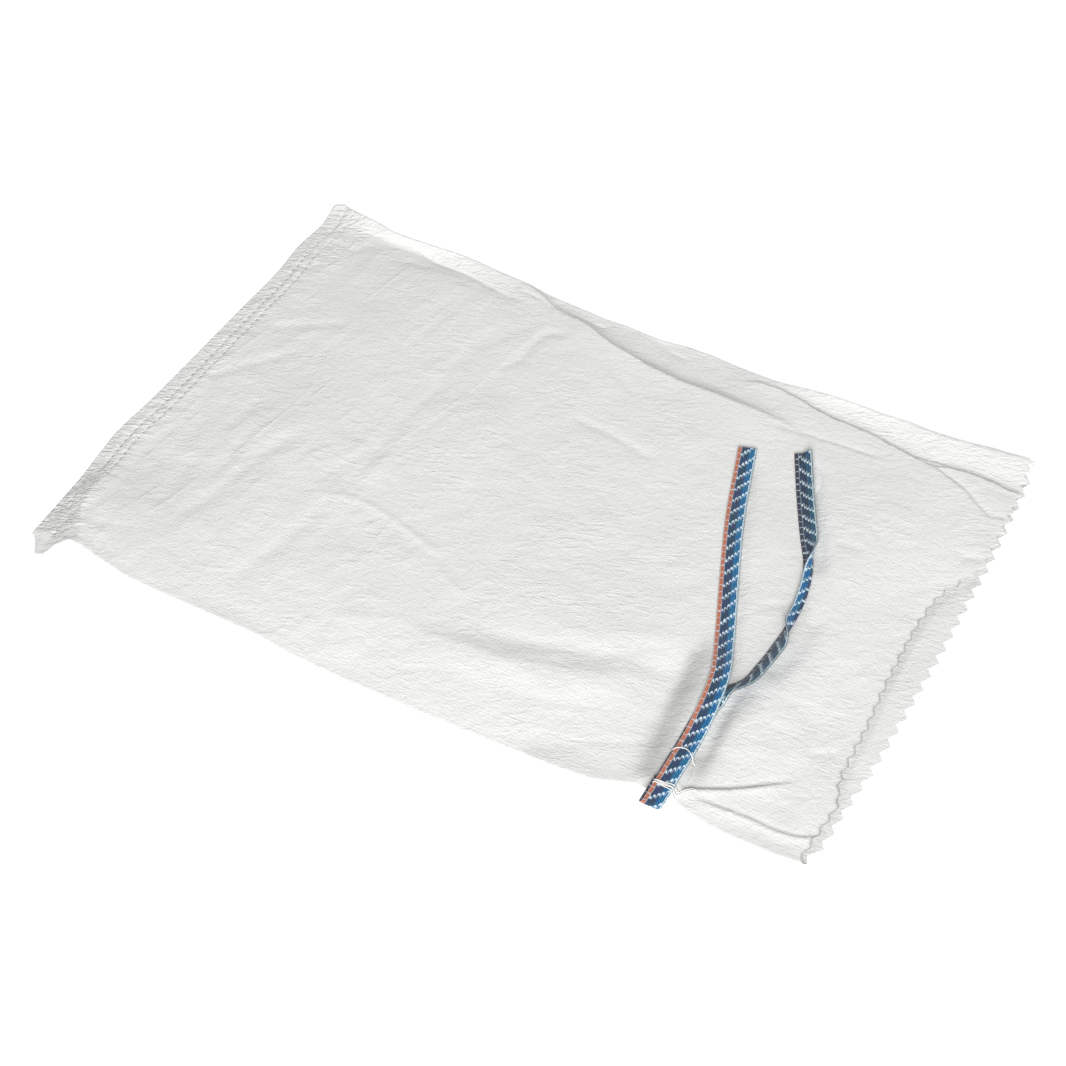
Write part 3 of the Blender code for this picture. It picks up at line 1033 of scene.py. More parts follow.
@dataclass(frozen=True)
class WovenCloth:
    """White flat-tape polypropylene cloth: silky, faintly grained and creased."""

    colour: tuple = (0.790, 0.790, 0.775, 1.0)
    shade: tuple = (0.640, 0.645, 0.620, 1.0)
    # Colour that the painted shade darkens the cloth towards
    deep: tuple = (0.400, 0.405, 0.390, 1.0)
    hole: tuple = (0.45, 0.46, 0.45, 1.0)
    # Colour of the painted shade in the dents at the hem's stitches
    stitch: tuple = (0.30, 0.30, 0.30, 1.0)
    roughness: float = 0.52
    tapes: float = 400.0
    weave_depth: float = 0.00009

    def build(self, weave: TapeWeave) -> Material:
        """Build the material.

        Args:
            weave: the shared tape weave.

        Returns:
            The material.
        """
        material, nodes, shader = new_material("woven cloth")
        place = nodes.add("ShaderNodeTexCoord").outputs["Object"]
        group = nodes.add("ShaderNodeGroup", node_tree=weave.tree)
        nodes.join(place, group.inputs["Place"])
        group.inputs["Tapes per metre"].default_value = self.tapes
        crease = nodes.attribute("crease")
        cloudy = nodes.noise(place, 22.0, 4.0, 0.4)
        tone = nodes.times_plus(group.outputs["Tone"], 0.16, nodes.times(cloudy, 0.10))
        colour = nodes.mix(tone, self.colour, self.shade)
        # Painted shade from the crease attribute
        colour = nodes.mix(crease, colour, self.deep)
        colour = nodes.mix(nodes.times(group.outputs["Hole"], 0.22), colour, self.hole)
        # Painted shade in the stitch dents of both seams
        colour = nodes.mix(self.seams(nodes, place), colour, self.stitch)
        nodes.join(colour, shader.inputs["Base Color"])
        gloss = nodes.times_plus(group.outputs["Tone"], 0.10, self.roughness)
        nodes.join(gloss, shader.inputs["Roughness"])
        shader.inputs["Specular IOR Level"].default_value = 0.22
        self.relief(nodes, shader, place, group)
        return material

    def seams(self, nodes: Nodes, place: Socket) -> Socket:
        """Return the mask of the painted shade in the dents where both seams' stitches go into the cloth.

        Args:
            nodes: the material's nodes.
            place: the object's coordinates.

        Returns:
            The mask, from 0 to 1.
        """
        from_hem = nodes.attribute("from_hem")
        _, y, _ = nodes.split(place)
        phase = nodes.less(nodes.math("FRACT", nodes.math("DIVIDE", y, STITCH)), 0.5)
        wander = nodes.times(nodes.less(nodes.noise(place, 90.0), 0.5), 0.5)
        phase = nodes.plus(phase, wander)
        dent = nodes.band(phase, 0.0, 0.25, 0.10)
        rows = [nodes.band(from_hem, row + 0.0006, 0.00055, 0.0004) for row in HEM_ROWS]
        both = nodes.math("MAXIMUM", *rows)
        far_end = nodes.less(1.0, nodes.step(y, 0.140, 0.160))
        ends = nodes.times(nodes.step(y, -0.135, -0.125), far_end)
        return nodes.times(nodes.times(both, dent), nodes.times(ends, 0.75))

    def relief(self, nodes: Nodes, shader: bpy.types.Node, place: Socket,
               group: bpy.types.Node) -> None:
        """Add the weave and the finest crumples as bump.

        Args:
            nodes: the material's nodes.
            shader: the material's shader.
            place: the object's coordinates.
            group: the placed tape weave.
        """
        crumple = nodes.noise(self.turned(nodes, place, 28.0, 1.0, 1.6), 135.0, 4.0, 1.0)
        woven = nodes.times(group.outputs["Height"], self.weave_depth)
        fine = nodes.plus(nodes.times(crumple, 0.0007), woven)
        x, _, _ = nodes.split(place)
        hem_half = nodes.less(1.0, nodes.step(x, -0.14, -0.02))
        long_lines = self.ridges(nodes, place, 78.0, 36.0, 7.0, 30.0)
        short_lines = self.ridges(nodes, place, 20.0, 150.0, 3.0, 30.0)
        fine = nodes.plus(fine, nodes.times(nodes.times(long_lines, hem_half), 0.0005))
        fine = nodes.times_plus(short_lines, 0.00024, fine)
        crumpled = nodes.attribute("crumpled")
        crinkles = nodes.times(self.ridges(nodes, place, 22.0, 210.0, 2.6, 0.0), crumpled)
        fine = nodes.times_plus(crinkles, 0.0008, fine)
        nodes.bump(fine, 1.0, shader)

    @staticmethod
    def turned(nodes: Nodes, place: Socket, angle: float, along: float,
               across: float) -> Socket:
        """Return the place turned by an angle in degrees and scaled along and across that way."""
        node = nodes.add("ShaderNodeMapping", vector_type="TEXTURE")
        nodes.join(place, node.inputs["Vector"])
        node.inputs["Rotation"].default_value = (0.0, 0.0, radians(angle))
        node.inputs["Scale"].default_value = (1.0 / along, 1.0 / across, 1.0)
        return node.outputs["Vector"]

    def ridges(self, nodes: Nodes, place: Socket, angle: float, scale: float,
               stretch: float, patches: float) -> Socket:
        """Return narrow ridges that run one way, in patches.

        Formula: 1 less the absolute value of a noise around its middle,
        squared twice, times a patchy mask.

        Args:
            nodes: the material's nodes.
            place: the object's coordinates.
            angle: way of the ridges in degrees from X.
            scale: ridges per metre across, roughly.
            stretch: how much longer than wide they are.
            patches: patches per metre, or 0 for ridges all over.

        Returns:
            The ridge height from 0 to 1.
        """
        grain = nodes.noise(self.turned(nodes, place, angle, 1.0 / stretch, 1.0), scale, 1.0, 0.6)
        gap = nodes.math("ABSOLUTE", nodes.times(nodes.less(grain, 0.5), 3.2), clamp=True)
        ridge = nodes.math("POWER", nodes.less(1.0, gap), 4.0)
        if not patches:
            return ridge
        mask = nodes.step(nodes.noise(place, patches, 2.0), 0.38, 0.66)
        return nodes.times(ridge, mask)


class Face(Enum):
    """Which face of the tie band is meant."""

    FRONT = "front"
    BACK = "back"


@dataclass(frozen=True)
class BandStripes:
    """Colours of the band's stripes from its left edge to its right edge."""

    edge: tuple
    first: tuple
    middle: tuple
    middle_tint: tuple
    last: tuple
    last_tint: tuple
    tick: tuple
    selvedge: tuple


STRIPES = {
    Face.FRONT: BandStripes(
        edge=(0.62, 0.42, 0.36, 1.0), first=(0.46, 0.150, 0.085, 1.0), middle=(0.018, 0.070, 0.125, 1.0),
        middle_tint=(0.036, 0.062, 0.165, 1.0), last=(0.003, 0.155, 0.430, 1.0),
        last_tint=(0.008, 0.200, 0.380, 1.0), tick=(0.62, 0.76, 0.86, 1.0),
        selvedge=(0.60, 0.78, 0.88, 1.0)),
    Face.BACK: BandStripes(
        edge=(0.07, 0.07, 0.10, 1.0), first=(0.030, 0.034, 0.060, 1.0), middle=(0.020, 0.035, 0.070, 1.0),
        middle_tint=(0.030, 0.070, 0.150, 1.0), last=(0.015, 0.130, 0.190, 1.0),
        last_tint=(0.020, 0.100, 0.220, 1.0), tick=(0.58, 0.70, 0.76, 1.0),
        selvedge=(0.55, 0.68, 0.70, 1.0)),
}


@dataclass(frozen=True)
class TieWebbing:
    """Woven band with three stripes crossed by slanting rows of white ticks."""

    repeat: float = 0.0115
    width: float = 0.014
    rows: float = 6.0
    ribs_across: int = 9
    wefts: int = 5
    roughness: float = 0.62
    gap: tuple = (0.004, 0.012, 0.030, 1.0)

    def build(self) -> Material:
        """Build the material.

        The UV map's U is the length along the band in metres, and V runs
        from 0 to 1 over the front and from 1 to 2 over the back.

        Returns:
            The material.
        """
        material, nodes, shader = new_material("tie webbing")
        uv = nodes.add("ShaderNodeUVMap", uv_map="along").outputs["UV"]
        length, side, _ = nodes.split(uv)
        back = nodes.step(side, 0.9999, 1.0001)
        across = nodes.less(side, back)
        spot = nodes.add("ShaderNodeCombineXYZ")
        nodes.join(length, spot.inputs["X"])
        nodes.join(nodes.times(side, self.width), spot.inputs["Y"])
        spot = spot.outputs["Vector"]
        wobble = nodes.less(nodes.noise(spot, 420.0, 1.0), 0.5)
        turns = nodes.times_plus(wobble, 0.30, nodes.math("DIVIDE", length, self.repeat))
        across = nodes.times_plus(wobble, 0.05, across)
        ticks, slant = self.ticks(nodes, turns, across)
        blotch = nodes.step(nodes.noise(spot, 260.0, 2.0), 0.40, 0.60)
        front = self.stripes(nodes, across, blotch, STRIPES[Face.FRONT])
        rear = self.stripes(nodes, across, blotch, STRIPES[Face.BACK])
        ground = nodes.mix(back, front, rear)
        tick = nodes.mix(back, STRIPES[Face.FRONT].tick, STRIPES[Face.BACK].tick)
        ribs = self.ribs(nodes, turns, across)
        gaps = nodes.times(nodes.less(1.0, ribs), nodes.step(across, 0.20, 0.24))
        ground = nodes.mix(nodes.times(gaps, 0.85), ground, self.gap)
        colour = nodes.mix(ticks, ground, tick)
        nodes.join(colour, shader.inputs["Base Color"])
        shader.inputs["Roughness"].default_value = self.roughness
        shader.inputs["Sheen Weight"].default_value = 0.15
        height = nodes.times_plus(ticks, 0.00022, nodes.times(ribs, 0.00018))
        nodes.bump(nodes.plus(height, nodes.times(slant, 0.00004)), 0.8, shader)
        return material

    def ticks(self, nodes: Nodes, turns: Socket, across: Socket) -> tuple[Socket, Socket]:
        """Return the mask of the white ticks and the offset along each cell.

        Formula: the width is cut in rows, and each row's ticks are shifted
        by a fifth of the repeat from the last. The first stripe has thin
        lines across it and beside it.

        Args:
            nodes: the material's nodes.
            turns: length along the band in repeats.
            across: share of the width.

        Returns:
            The mask and the offset.
        """
        scaled = nodes.times(nodes.less(across, 0.035), self.rows / 0.93)
        row = nodes.math("FLOOR", scaled)
        inside = nodes.less(nodes.less(scaled, row), 0.5)
        shifted = nodes.times_plus(row, -0.20, turns)
        offset = nodes.less(nodes.math("FRACT", shifted), 0.5)
        hooked = nodes.times_plus(nodes.times(inside, inside), 0.55, offset)
        stroke = nodes.band(hooked, 0.03, 0.085, 0.02)
        body = nodes.band(across, 0.605, 0.375, 0.01)
        tall = nodes.times(nodes.band(inside, 0.0, 0.42, 0.06), body)
        stem = nodes.times(nodes.band(inside, -0.30, 0.09, 0.06), nodes.band(offset, -0.16, 0.18, 0.04))
        stem = nodes.times(nodes.times(stem, body), 0.6)
        mask = nodes.math("MAXIMUM", nodes.times(stroke, tall), stem)
        block = nodes.less(nodes.math("FRACT", nodes.times(turns, 1.9)), 0.5)
        line = nodes.times(nodes.band(block, 0.0, 0.05, 0.03), nodes.band(across, 0.120, 0.090, 0.01))
        side = nodes.times(nodes.band(across, 0.215, 0.012, 0.008), 0.5)
        lines = nodes.math("MAXIMUM", nodes.times(line, 0.8), side)
        return nodes.math("MAXIMUM", mask, lines), offset

    def ribs(self, nodes: Nodes, turns: Socket, across: Socket) -> Socket:
        """Return the fine warp ribs: rounded threads side by side, broken by weft lines."""
        rib = nodes.math("ABSOLUTE", nodes.math("SINE", nodes.times(across, pi * self.ribs_across)))
        weft = nodes.math("ABSOLUTE", nodes.math("SINE", nodes.times(turns, pi * self.wefts)))
        return nodes.times(nodes.math("POWER", rib, 0.5), nodes.math("POWER", weft, 0.35))

    def stripes(self, nodes: Nodes, across: Socket, blotch: Socket, colours: BandStripes) -> Socket:
        """Lay one face's stripes side by side.

        Args:
            nodes: the material's nodes.
            across: share of the width.
            blotch: mask that varies the thread colours.
            colours: the face's colours.

        Returns:
            The face's colour.
        """
        middle = nodes.mix(blotch, colours.middle, colours.middle_tint)
        last = nodes.mix(blotch, colours.last, colours.last_tint)
        colour = nodes.mix(nodes.step(across, 0.030, 0.045), colours.edge, colours.first)
        colour = nodes.mix(nodes.step(across, 0.205, 0.225), colour, middle)
        colour = nodes.mix(nodes.step(across, 0.610, 0.640), colour, last)
        return nodes.mix(nodes.step(across, 0.915, 0.930), colour, colours.selvedge)


@dataclass(frozen=True)
class SewingThread:
    """Matt white twisted thread."""

    colour: tuple = (0.82, 0.82, 0.80, 1.0)
    # Colour of the painted shade in the grooves between the strands
    groove: tuple = (0.55, 0.55, 0.53, 1.0)
    twist: float = 0.0016
    roughness: float = 0.7
    strand_depth: float = 0.00012

    def build(self) -> Material:
        """Build the material: slanting lines of painted shade where the strands meet.

        Returns:
            The material.
        """
        material, nodes, shader = new_material("sewing thread")
        uv = nodes.add("ShaderNodeUVMap", uv_map="along").outputs["UV"]
        length, around, _ = nodes.split(uv)
        lay = nodes.plus(nodes.math("DIVIDE", length, self.twist), nodes.times(around, 2.0))
        strand = nodes.math("ABSOLUTE", nodes.math("SINE", nodes.times(lay, pi)))
        colour = nodes.mix(nodes.step(strand, 0.05, 0.55), self.groove, self.colour)
        nodes.join(colour, shader.inputs["Base Color"])
        shader.inputs["Roughness"].default_value = self.roughness
        nodes.bump(nodes.times(strand, self.strand_depth), 0.7, shader)
        return material


# The bag


@dataclass(frozen=True)
class PaintedHollowShade:
    """Painted shade: cloth made greyer along a line, in place of real shading. Line, amount and width on
    both sides, in millimetres.
    """

    line: Points
    amount: float
    left: float
    right: float

    def shade(self, x: Array, y: Array) -> Array:
        """Return how much the painted shade greys the cloth: a bell curve of the distance from the line."""
        off, _ = beside_line(np.array(self.line, float), x * MM_PER_METRE, y * MM_PER_METRE)
        return self.amount * np.exp(-((off / np.where(off > 0, self.left, self.right)) ** 2))


@dataclass(frozen=True)
class BagBody:
    """The tube of cloth as one closed shell with its own wall."""

    shape: BagShape
    near_rows: int = 40
    near_tooth_rows: int = 8
    middle_rows: int = 138
    far_rows: int = 18
    edge_rows: int = 26
    tooth_rows: int = 6
    lower_teeth: int = 29
    fine_teeth: int = 4
    arc_rows: int = 3
    length: float = 0.606
    # Lengths of the stretches from the hem to the mouth, and stations in each
    stretches: tuple = ((0.030, 26), (0.150, 46), (0.100, 42), (0.211, 64), (0.115, 76))
    inner_end_stations: int = 30
    inner_deep_stations: int = 12
    inner_pull: float = 0.035
    # Painted shade beside the tie band and along the near edge by it, standing in for the shading there
    painted_shades: tuple[PaintedHollowShade, ...] = (
        PaintedHollowShade(((169, -182), (166, -162), (164, -142), (163, -123), (161.2, -100), (159.5, -86)),
                    0.62, 8, 13),
        PaintedHollowShade(((200.5, -180), (200, -160), (200, -142), (201, -125), (206, -108)), 0.38, 10, 8.5),
        PaintedHollowShade(((198, -94), (206, -80), (209.5, -62), (211, -40), (210, -20)), 0.26, 13, 11),
        PaintedHollowShade(((100, -205), (136.9, -201), (150.5, -197.4), (164, -192)), 0.24, 11, 10),
        PaintedHollowShade(((205, -196), (232, -199), (262, -201), (285, -201)), 0.17, 6, 10),
        PaintedHollowShade(((225, -181), (245, -177), (266, -173)), 0.16, 9, 9),
    )
    # Painted shade along the near edge: how dark it is, and how far in it reaches
    rim: float = 0.12
    rim_reach: float = 0.0050
    side_radius: float = 0.0012

    def stations(self) -> Array:
        """Return how far each ring is along the bag, from 0 at the hem to 1 at the mouth."""
        steps = np.concatenate([np.full(count, reach / count) for reach, count in self.stretches])
        so_far = np.concatenate(([0.0], np.cumsum(steps)))
        return so_far / so_far[-1]

    def lower_places(self) -> Array:
        """Return the lower rows' places across: two to a tooth, with more in the last few teeth."""
        plain_teeth = self.lower_teeth - self.fine_teeth
        plain = np.arange(2 * plain_teeth) / (2 * self.lower_teeth)
        fine = np.linspace(plain_teeth / self.lower_teeth, 1.0, self.fine_teeth * self.tooth_rows + 1)
        return np.concatenate((plain, fine))

    def teeth(self, is_upper: bool) -> Array:
        """Return each row's share of the way from a tooth's tip to a notch."""
        if is_upper:
            others = self.middle_rows + self.far_rows + self.edge_rows
            steps = np.concatenate((np.full(self.near_rows, 1 / self.near_tooth_rows),
                                    np.full(others, 1 / self.tooth_rows)))
            phase = np.concatenate(([0.0], np.cumsum(steps)))
        else:
            phase = self.lower_places() * self.lower_teeth
        return 1.0 - np.abs(2.0 * (phase % 1.0) - 1.0)

    def plan(self, along: Array, is_upper: bool) -> tuple[Array, Array]:
        """Return X and Y of one layer's rows at some stations.

        Formula: X runs from the hem's edge to the mouth's edge by the
        station's share; the teeth grow in the last 3% before the mouth.
        X and Y depend on each other, so they are worked out twice.

        Args:
            along: share of the way of each station.
            is_upper: whether this is the upper layer.

        Returns:
            X and Y, one row of numbers for each station.
        """
        share = along[:, None]
        tooth = self.teeth(is_upper) * smooth_step(share, 0.965, 1.0)
        x = -0.309 + 0.610 * share + np.zeros(tooth.shape)
        for _ in range(2):
            y = self.row_places(x, is_upper)
            start = self.shape.hem(y)
            x = start + (self.shape.mouth(y, is_upper, tooth) - start) * share
        return x, self.row_places(x, is_upper)

    def row_places(self, x: Array, is_upper: bool) -> Array:
        """Return Y of one layer's rows.

        Formula: the lower rows share out the whole width; the upper rows
        are spread evenly between the near edge, a line near it, the two
        far crease lines and the far edge.

        Args:
            x: X of every row, one row of numbers for each station.
            is_upper: whether this is the upper layer.

        Returns:
            Y of every row.
        """
        near = self.shape.near(x) + self.side_radius
        far = self.shape.far(x) - self.side_radius
        if not is_upper:
            return near + (far - near) * self.lower_places()
        inner = curve_through(self.shape.inner_guide, x)
        outer = curve_through(self.shape.outer_guide, x)
        belt = near + (inner - near) * 0.18
        counts = (self.near_rows, self.middle_rows, self.far_rows, self.edge_rows)
        row = np.arange(sum(counts) + 1)
        marks = np.concatenate(([0], np.cumsum(counts)))
        lines = (near, belt, inner, outer, far)
        y = np.zeros(x.shape)
        for index in range(len(counts)):
            part = (row >= marks[index]) & (row <= marks[index + 1])
            share = (row[part] - marks[index]) / counts[index]
            y[:, part] = lines[index][:, part] * (1 - share) + lines[index + 1][:, part] * share
        return y

    def layers(self, along: Array, width: Array | float = 1.0) -> tuple[Array, Array]:
        """Return the faces of both layers at some stations.

        Args:
            along: share of the way of each station.
            width: share of the bag's width that they take.

        Returns:
            The upper and the lower face, as stations by rows by place.
        """
        x, y = self.plan(along, True)
        upper = np.stack([x, y * width, self.shape.upper(x, y * width)], axis=-1)
        x, y = self.plan(along, False)
        lower = np.stack([x, y * width, self.shape.lower(x, y * width)], axis=-1)
        return upper, lower

    def rings(self, upper: Array, lower: Array, inset: float) -> Array:
        """Join both layers with rounded side folds.

        Formula: each side fold is a half ellipse from the lower layer's
        first row to the upper layer's, bulging by the side radius.

        Args:
            upper: places of the upper layer's face.
            lower: places of the lower layer's face.
            inset: how far this skin lies inside the outer one.

        Returns:
            Closed rings, as stations by points by place.
        """
        angles = -pi / 2 + pi * np.arange(1, self.arc_rows + 1) / (self.arc_rows + 1)
        arcs = []
        for side, edge in ((1.0, -1), (-1.0, 0)):
            low, high = lower[:, edge], upper[:, edge]
            middle = (low + high) / 2
            half = (high - low) / 2
            out = np.array([0.0, side * (self.side_radius - inset), 0.0])
            arc = middle[:, None] + half[:, None] * np.sin(angles)[None, :, None]
            arcs.append(arc + out * np.cos(angles)[None, :, None])
        return np.concatenate([lower, arcs[0], upper[:, ::-1], arcs[1][:, ::-1]], axis=1)

    def inner_layers(self, along: Array) -> tuple[Array, Array]:
        """Return the inner faces of both layers.

        Near the mouth they follow the outer faces at the wall's distance.
        Deeper in, where the rings are far apart, they are a little narrower
        and the upper one lies under the lowest of five stations nearby, so
        that they never cut through.

        Args:
            along: share of the way of each inner ring.

        Returns:
            The inner upper and lower faces.
        """
        deep = smooth_step(1.0 - along, 0.06, 0.12)[:, None]
        width = 1.0 - self.inner_pull * deep
        upper, lower = self.layers(along, width)
        spread = np.gradient(along)
        lowest = upper[..., 2].copy()
        for shift in (-1.0, -0.5, 0.5, 1.0):
            beside, _ = self.layers(np.clip(along + shift * spread, 0.0, 1.0), width)
            lowest = np.minimum(lowest, beside[..., 2])
        upper[..., 2] = upper[..., 2] * (1 - deep) + (lowest - 0.0004) * deep - self.shape.wall
        lower[..., 2] += self.shape.wall
        floor = self.shape.lower(upper[..., 0], upper[..., 1]) + self.shape.wall
        upper[..., 2] = np.maximum(upper[..., 2], floor + 0.0002)
        return upper, lower

    def build(self, finish: Material) -> Piece:
        """Build the closed shell.

        Args:
            finish: the cloth's material.

        Returns:
            The bag's object.
        """
        along = self.stations()
        upper, lower = self.layers(along)
        upper[0, :, 2] -= 0.0003
        lower[0, :, 2] = self.shape.upper(lower[0, :, 0], lower[0, :, 1]) - 0.0008
        outer = self.rings(upper, lower, 0.0)
        mouth = along[-self.inner_end_stations:]
        first = self.stretches[0][0] / self.length
        deep = np.linspace(first, mouth[0], self.inner_deep_stations, endpoint=False)
        inner_along = np.concatenate((deep, mouth))
        inner = self.rings(*self.inner_layers(inner_along), self.shape.wall)
        around = outer.shape[1]
        split = outer.shape[0] * around
        places = np.concatenate((outer.reshape(-1, 3), inner.reshape(-1, 3)))
        quads = ring_faces(outer.shape[0], around)
        inside = ring_faces(inner.shape[0], around, split)[:, ::-1]
        spot = np.arange(around)
        after = (spot + 1) % around
        edge = split - around
        last = len(places) - around
        rim = np.stack([edge + spot, edge + after, last + after, last + spot], axis=1)
        hem_cap = cap_faces(around, lower.shape[1], outer[0, :, 1])
        inner_cap = cap_faces(around, lower.shape[1], inner[0, :, 1])[:, ::-1] + split
        faces = [tuple(face) for face in np.concatenate((quads, inside, rim)).tolist()]
        faces += [tuple(face) for face in np.concatenate((hem_cap, inner_cap)).tolist()]
        faces = outward(places, faces)
        item = add_piece("bag_cloth", places, faces, finish, radians(50))
        on_top = spot >= lower.shape[1] + self.arc_rows
        # The crease attribute holds the painted shade that the cloth's material mixes in
        set_numbers(item, "crease", self.painted_shade(places, outer, on_top))
        set_numbers(item, "from_hem", places[:, 0] - self.shape.hem(places[:, 1]))
        set_numbers(item, "crumpled", self.crumpled(places))
        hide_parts("bag_body")
        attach(item, BODY)
        return item

    def painted_shade(self, places: Array, outer: Array, on_top: Array) -> Array:
        """Return the painted shade: how much darker the cloth is painted in creases, beside the tie band,
        on the hem and along its edges, in place of real shading.

        Args:
            places: all vertex places, the outer rings' first.
            outer: the outer rings.
            on_top: whether each point of a ring is on the upper layer.

        Returns:
            A number from 0 to 1 for each vertex.
        """
        x, y = places[:, 0], places[:, 1]
        from_hem = x - self.shape.hem(y)
        dark = np.zeros(len(places))
        # Painted shade just beyond the far crease lines
        for lap in FAR_LAPS[1:]:
            past = y - curve_through(lap.line, x)
            dark += curve_through(lap.share, x) * np.exp(-np.abs(past - 0.0006) / 0.0012)
        # Painted shade on the hem strip, strongest on the turned-up corner facet
        on_strip = from_hem < curve_through(self.shape.strip_width, y)
        corner = (1.0 - smooth_step(y, -0.140, -0.115)) * smooth_step(y, -0.200, -0.190)
        outside = np.clip(dark * 0.15 + on_strip * (0.03 + 0.13 * corner), 0.0, 1.0)
        # Painted shadow along the upper layer's cut edge, where the mouth is open
        cut = np.zeros(outer.shape[:2])
        cut[-1] = on_top
        cut[-2] = on_top * 0.20
        open_part = 1.0 - smooth_step(outer[..., 1], 0.055, 0.085)
        # Painted shadow on the lower layer just past the upper layer's cut edge
        shade = 0.25 * np.exp(-((x - curve_through(self.shape.mouth_top, y) - 0.0012) / 0.0022) ** 2)
        # Painted shade along the near edge, added with the painted hollow shades on the top faces only
        rim = self.rim * np.exp(-np.maximum(y - self.shape.near(x), 0.0) / self.rim_reach)
        outside += (rim + sum(hollow.shade(x, y) for hollow in self.painted_shades)) * (places[:, 2] > 0.002)
        count = cut.size
        shade[:count] = np.maximum(outside[:count], (cut * open_part).ravel())
        return shade

    def crumpled(self, places: Array) -> Array:
        """Return how strongly the cloth is crinkled: on the hem, at its corners and on the far strips.

        Args:
            places: all vertex places.

        Returns:
            A number from 0 to 1 for each vertex.
        """
        x, y = places[:, 0], places[:, 1]
        from_hem = x - self.shape.hem(y)
        hem = 0.6 * (1.0 - smooth_step(from_hem, 0.016, 0.034))
        strip = 1.0 - smooth_step(from_hem - curve_through(self.shape.strip_width, y), -0.002, 0.002)
        lip = 1.0 - smooth_step(y, -0.202, -0.192)
        corner = 0.4 * strip * (1.0 - smooth_step(y, -0.140, -0.115))
        fan = 0.6 * smooth_step(y, 0.120, 0.160) * (1.0 - smooth_step(from_hem, 0.030, 0.060))
        far = np.zeros(len(places))
        for lap in (FAR_LAPS[0], FAR_LAPS[2]):
            far += curve_through(lap.share, x) * smooth_step(y - curve_through(lap.line, x), 0.0, 0.004)
        return np.clip(np.maximum(hem + corner, np.maximum(fan, 0.3 * far)) * (1.0 - lip), 0.0, 1.0)


# Threads and the tie band


def sweep(line: Array, across: Array, up: Array, section: Array) -> Array:
    """Carry a flat section along a line.

    Formula: each ring is the line's spot plus the section's first number
    times the across way plus its second times the up way.

    Args:
        line: spots of the line.
        across: the section's first way at each spot.
        up: the section's second way at each spot.
        section: points of the section, closed.

    Returns:
        The rings, as spots by section points by place.
    """
    wide = across[:, None] * section[None, :, 0, None]
    return line[:, None] + wide + up[:, None] * section[None, :, 1, None]


def close_sweep(rings: Array) -> tuple[Array, list]:
    """Return the places and faces of a swept piece, with closed ends."""
    count, around = rings.shape[:2]
    places = rings.reshape(-1, 3)
    faces = [tuple(face) for face in ring_faces(count, around).tolist()]
    faces.append(tuple(range(around - 1, -1, -1)))
    faces.append(tuple(range((count - 1) * around, count * around)))
    return places, outward(places, faces)


def tangents(line: Array) -> Array:
    """Return the unit direction of a line at each of its spots."""
    ways = np.gradient(line, axis=0)
    return ways / np.linalg.norm(ways, axis=1, keepdims=True)


@dataclass(frozen=True)
class Thread:
    """A length of sewing thread along a line."""

    name: str
    points: Points
    radius: float = 0.0004
    sides: int = 8
    step: float = 0.0005

    def build(self, finish: Material, line: Array | None = None) -> Piece:
        """Build the thread as a round tube.

        Args:
            finish: the thread's material.
            line: spots to follow, or None for a smooth line through the points.

        Returns:
            The thread's object.
        """
        spots = smooth_line(self.points, self.step) if line is None else line
        along = tangents(spots)
        level = np.cross(along, np.array([0.0, 0.0, 1.0]))
        size = np.linalg.norm(level, axis=1, keepdims=True)
        level = np.where(size > 0.05, level / np.maximum(size, 1e-9), np.array([1.0, 0.0, 0.0]))
        level = level - along * np.sum(level * along, axis=1, keepdims=True)
        level = level / np.linalg.norm(level, axis=1, keepdims=True)
        angles = 2 * pi * np.arange(self.sides) / self.sides
        section = self.radius * np.stack([np.cos(angles), np.sin(angles)], axis=1)
        rings = sweep(spots, level, np.cross(level, along), section)
        places, faces = close_sweep(rings)
        item = add_piece(self.name, places, faces, finish)
        lengths = lengths_along(spots)
        u = np.repeat(lengths, self.sides)
        v = np.tile(np.arange(self.sides) / self.sides, len(spots))
        set_uv(item, np.stack([u, v], axis=1))
        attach(item, BODY)
        return item


@dataclass(frozen=True)
class HemSeams:
    """Two rows of stitches along the hem."""

    shape: BagShape
    margin: float = 0.003
    radius: float = 0.00036
    starts: tuple = (-0.110, -0.129)
    names: tuple = ("hem_seam_outer", "hem_seam_inner")
    nodes: tuple = ("hem_thread_outer", "hem_thread_inner")

    def line(self, distance: float, near: float) -> Array:
        """Return the seam's line, dipping into the cloth at every stitch.

        Formula: X stays the distance inside the hem's edge; the height is
        the cloth's, plus the radius, less a narrow dip at each stitch end.

        Args:
            distance: how far inside the hem's edge the seam runs.
            near: Y where the seam starts, at the turned-up corner.

        Returns:
            The spots of the line.
        """
        far = float(self.shape.far(np.array([-0.295]))[0]) - self.margin
        y = np.linspace(near, far, int((far - near) / 0.0004))
        phase = (y / STITCH) % 1.0
        wander = 0.00025 * lattice_noise(y, y * 0.0, 0.011, 31)
        x = self.shape.hem(y) + distance + wander
        dip = np.exp(-(((phase - 0.5) / 0.20) ** 2))
        z = self.shape.upper(x, y) + self.radius * 0.8 - 0.0011 * dip
        return np.stack([x, y, z], axis=1)

    def build(self, finish: Material) -> list[Piece]:
        """Build both rows.

        Args:
            finish: the thread's material.

        Returns:
            The two objects.
        """
        made = []
        for name, node, distance, near in zip(self.names, self.nodes, HEM_ROWS, self.starts):
            item = Thread(name, (), self.radius, 6).build(finish, self.line(distance, near))
            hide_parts(node)
            made.append(item)
        return made


@dataclass(frozen=True)
class LegPath:
    """A leg's middle line, with the level way across, the roll and the bend at each spot."""

    line: Array
    level: Array
    roll: Array
    bend: Array


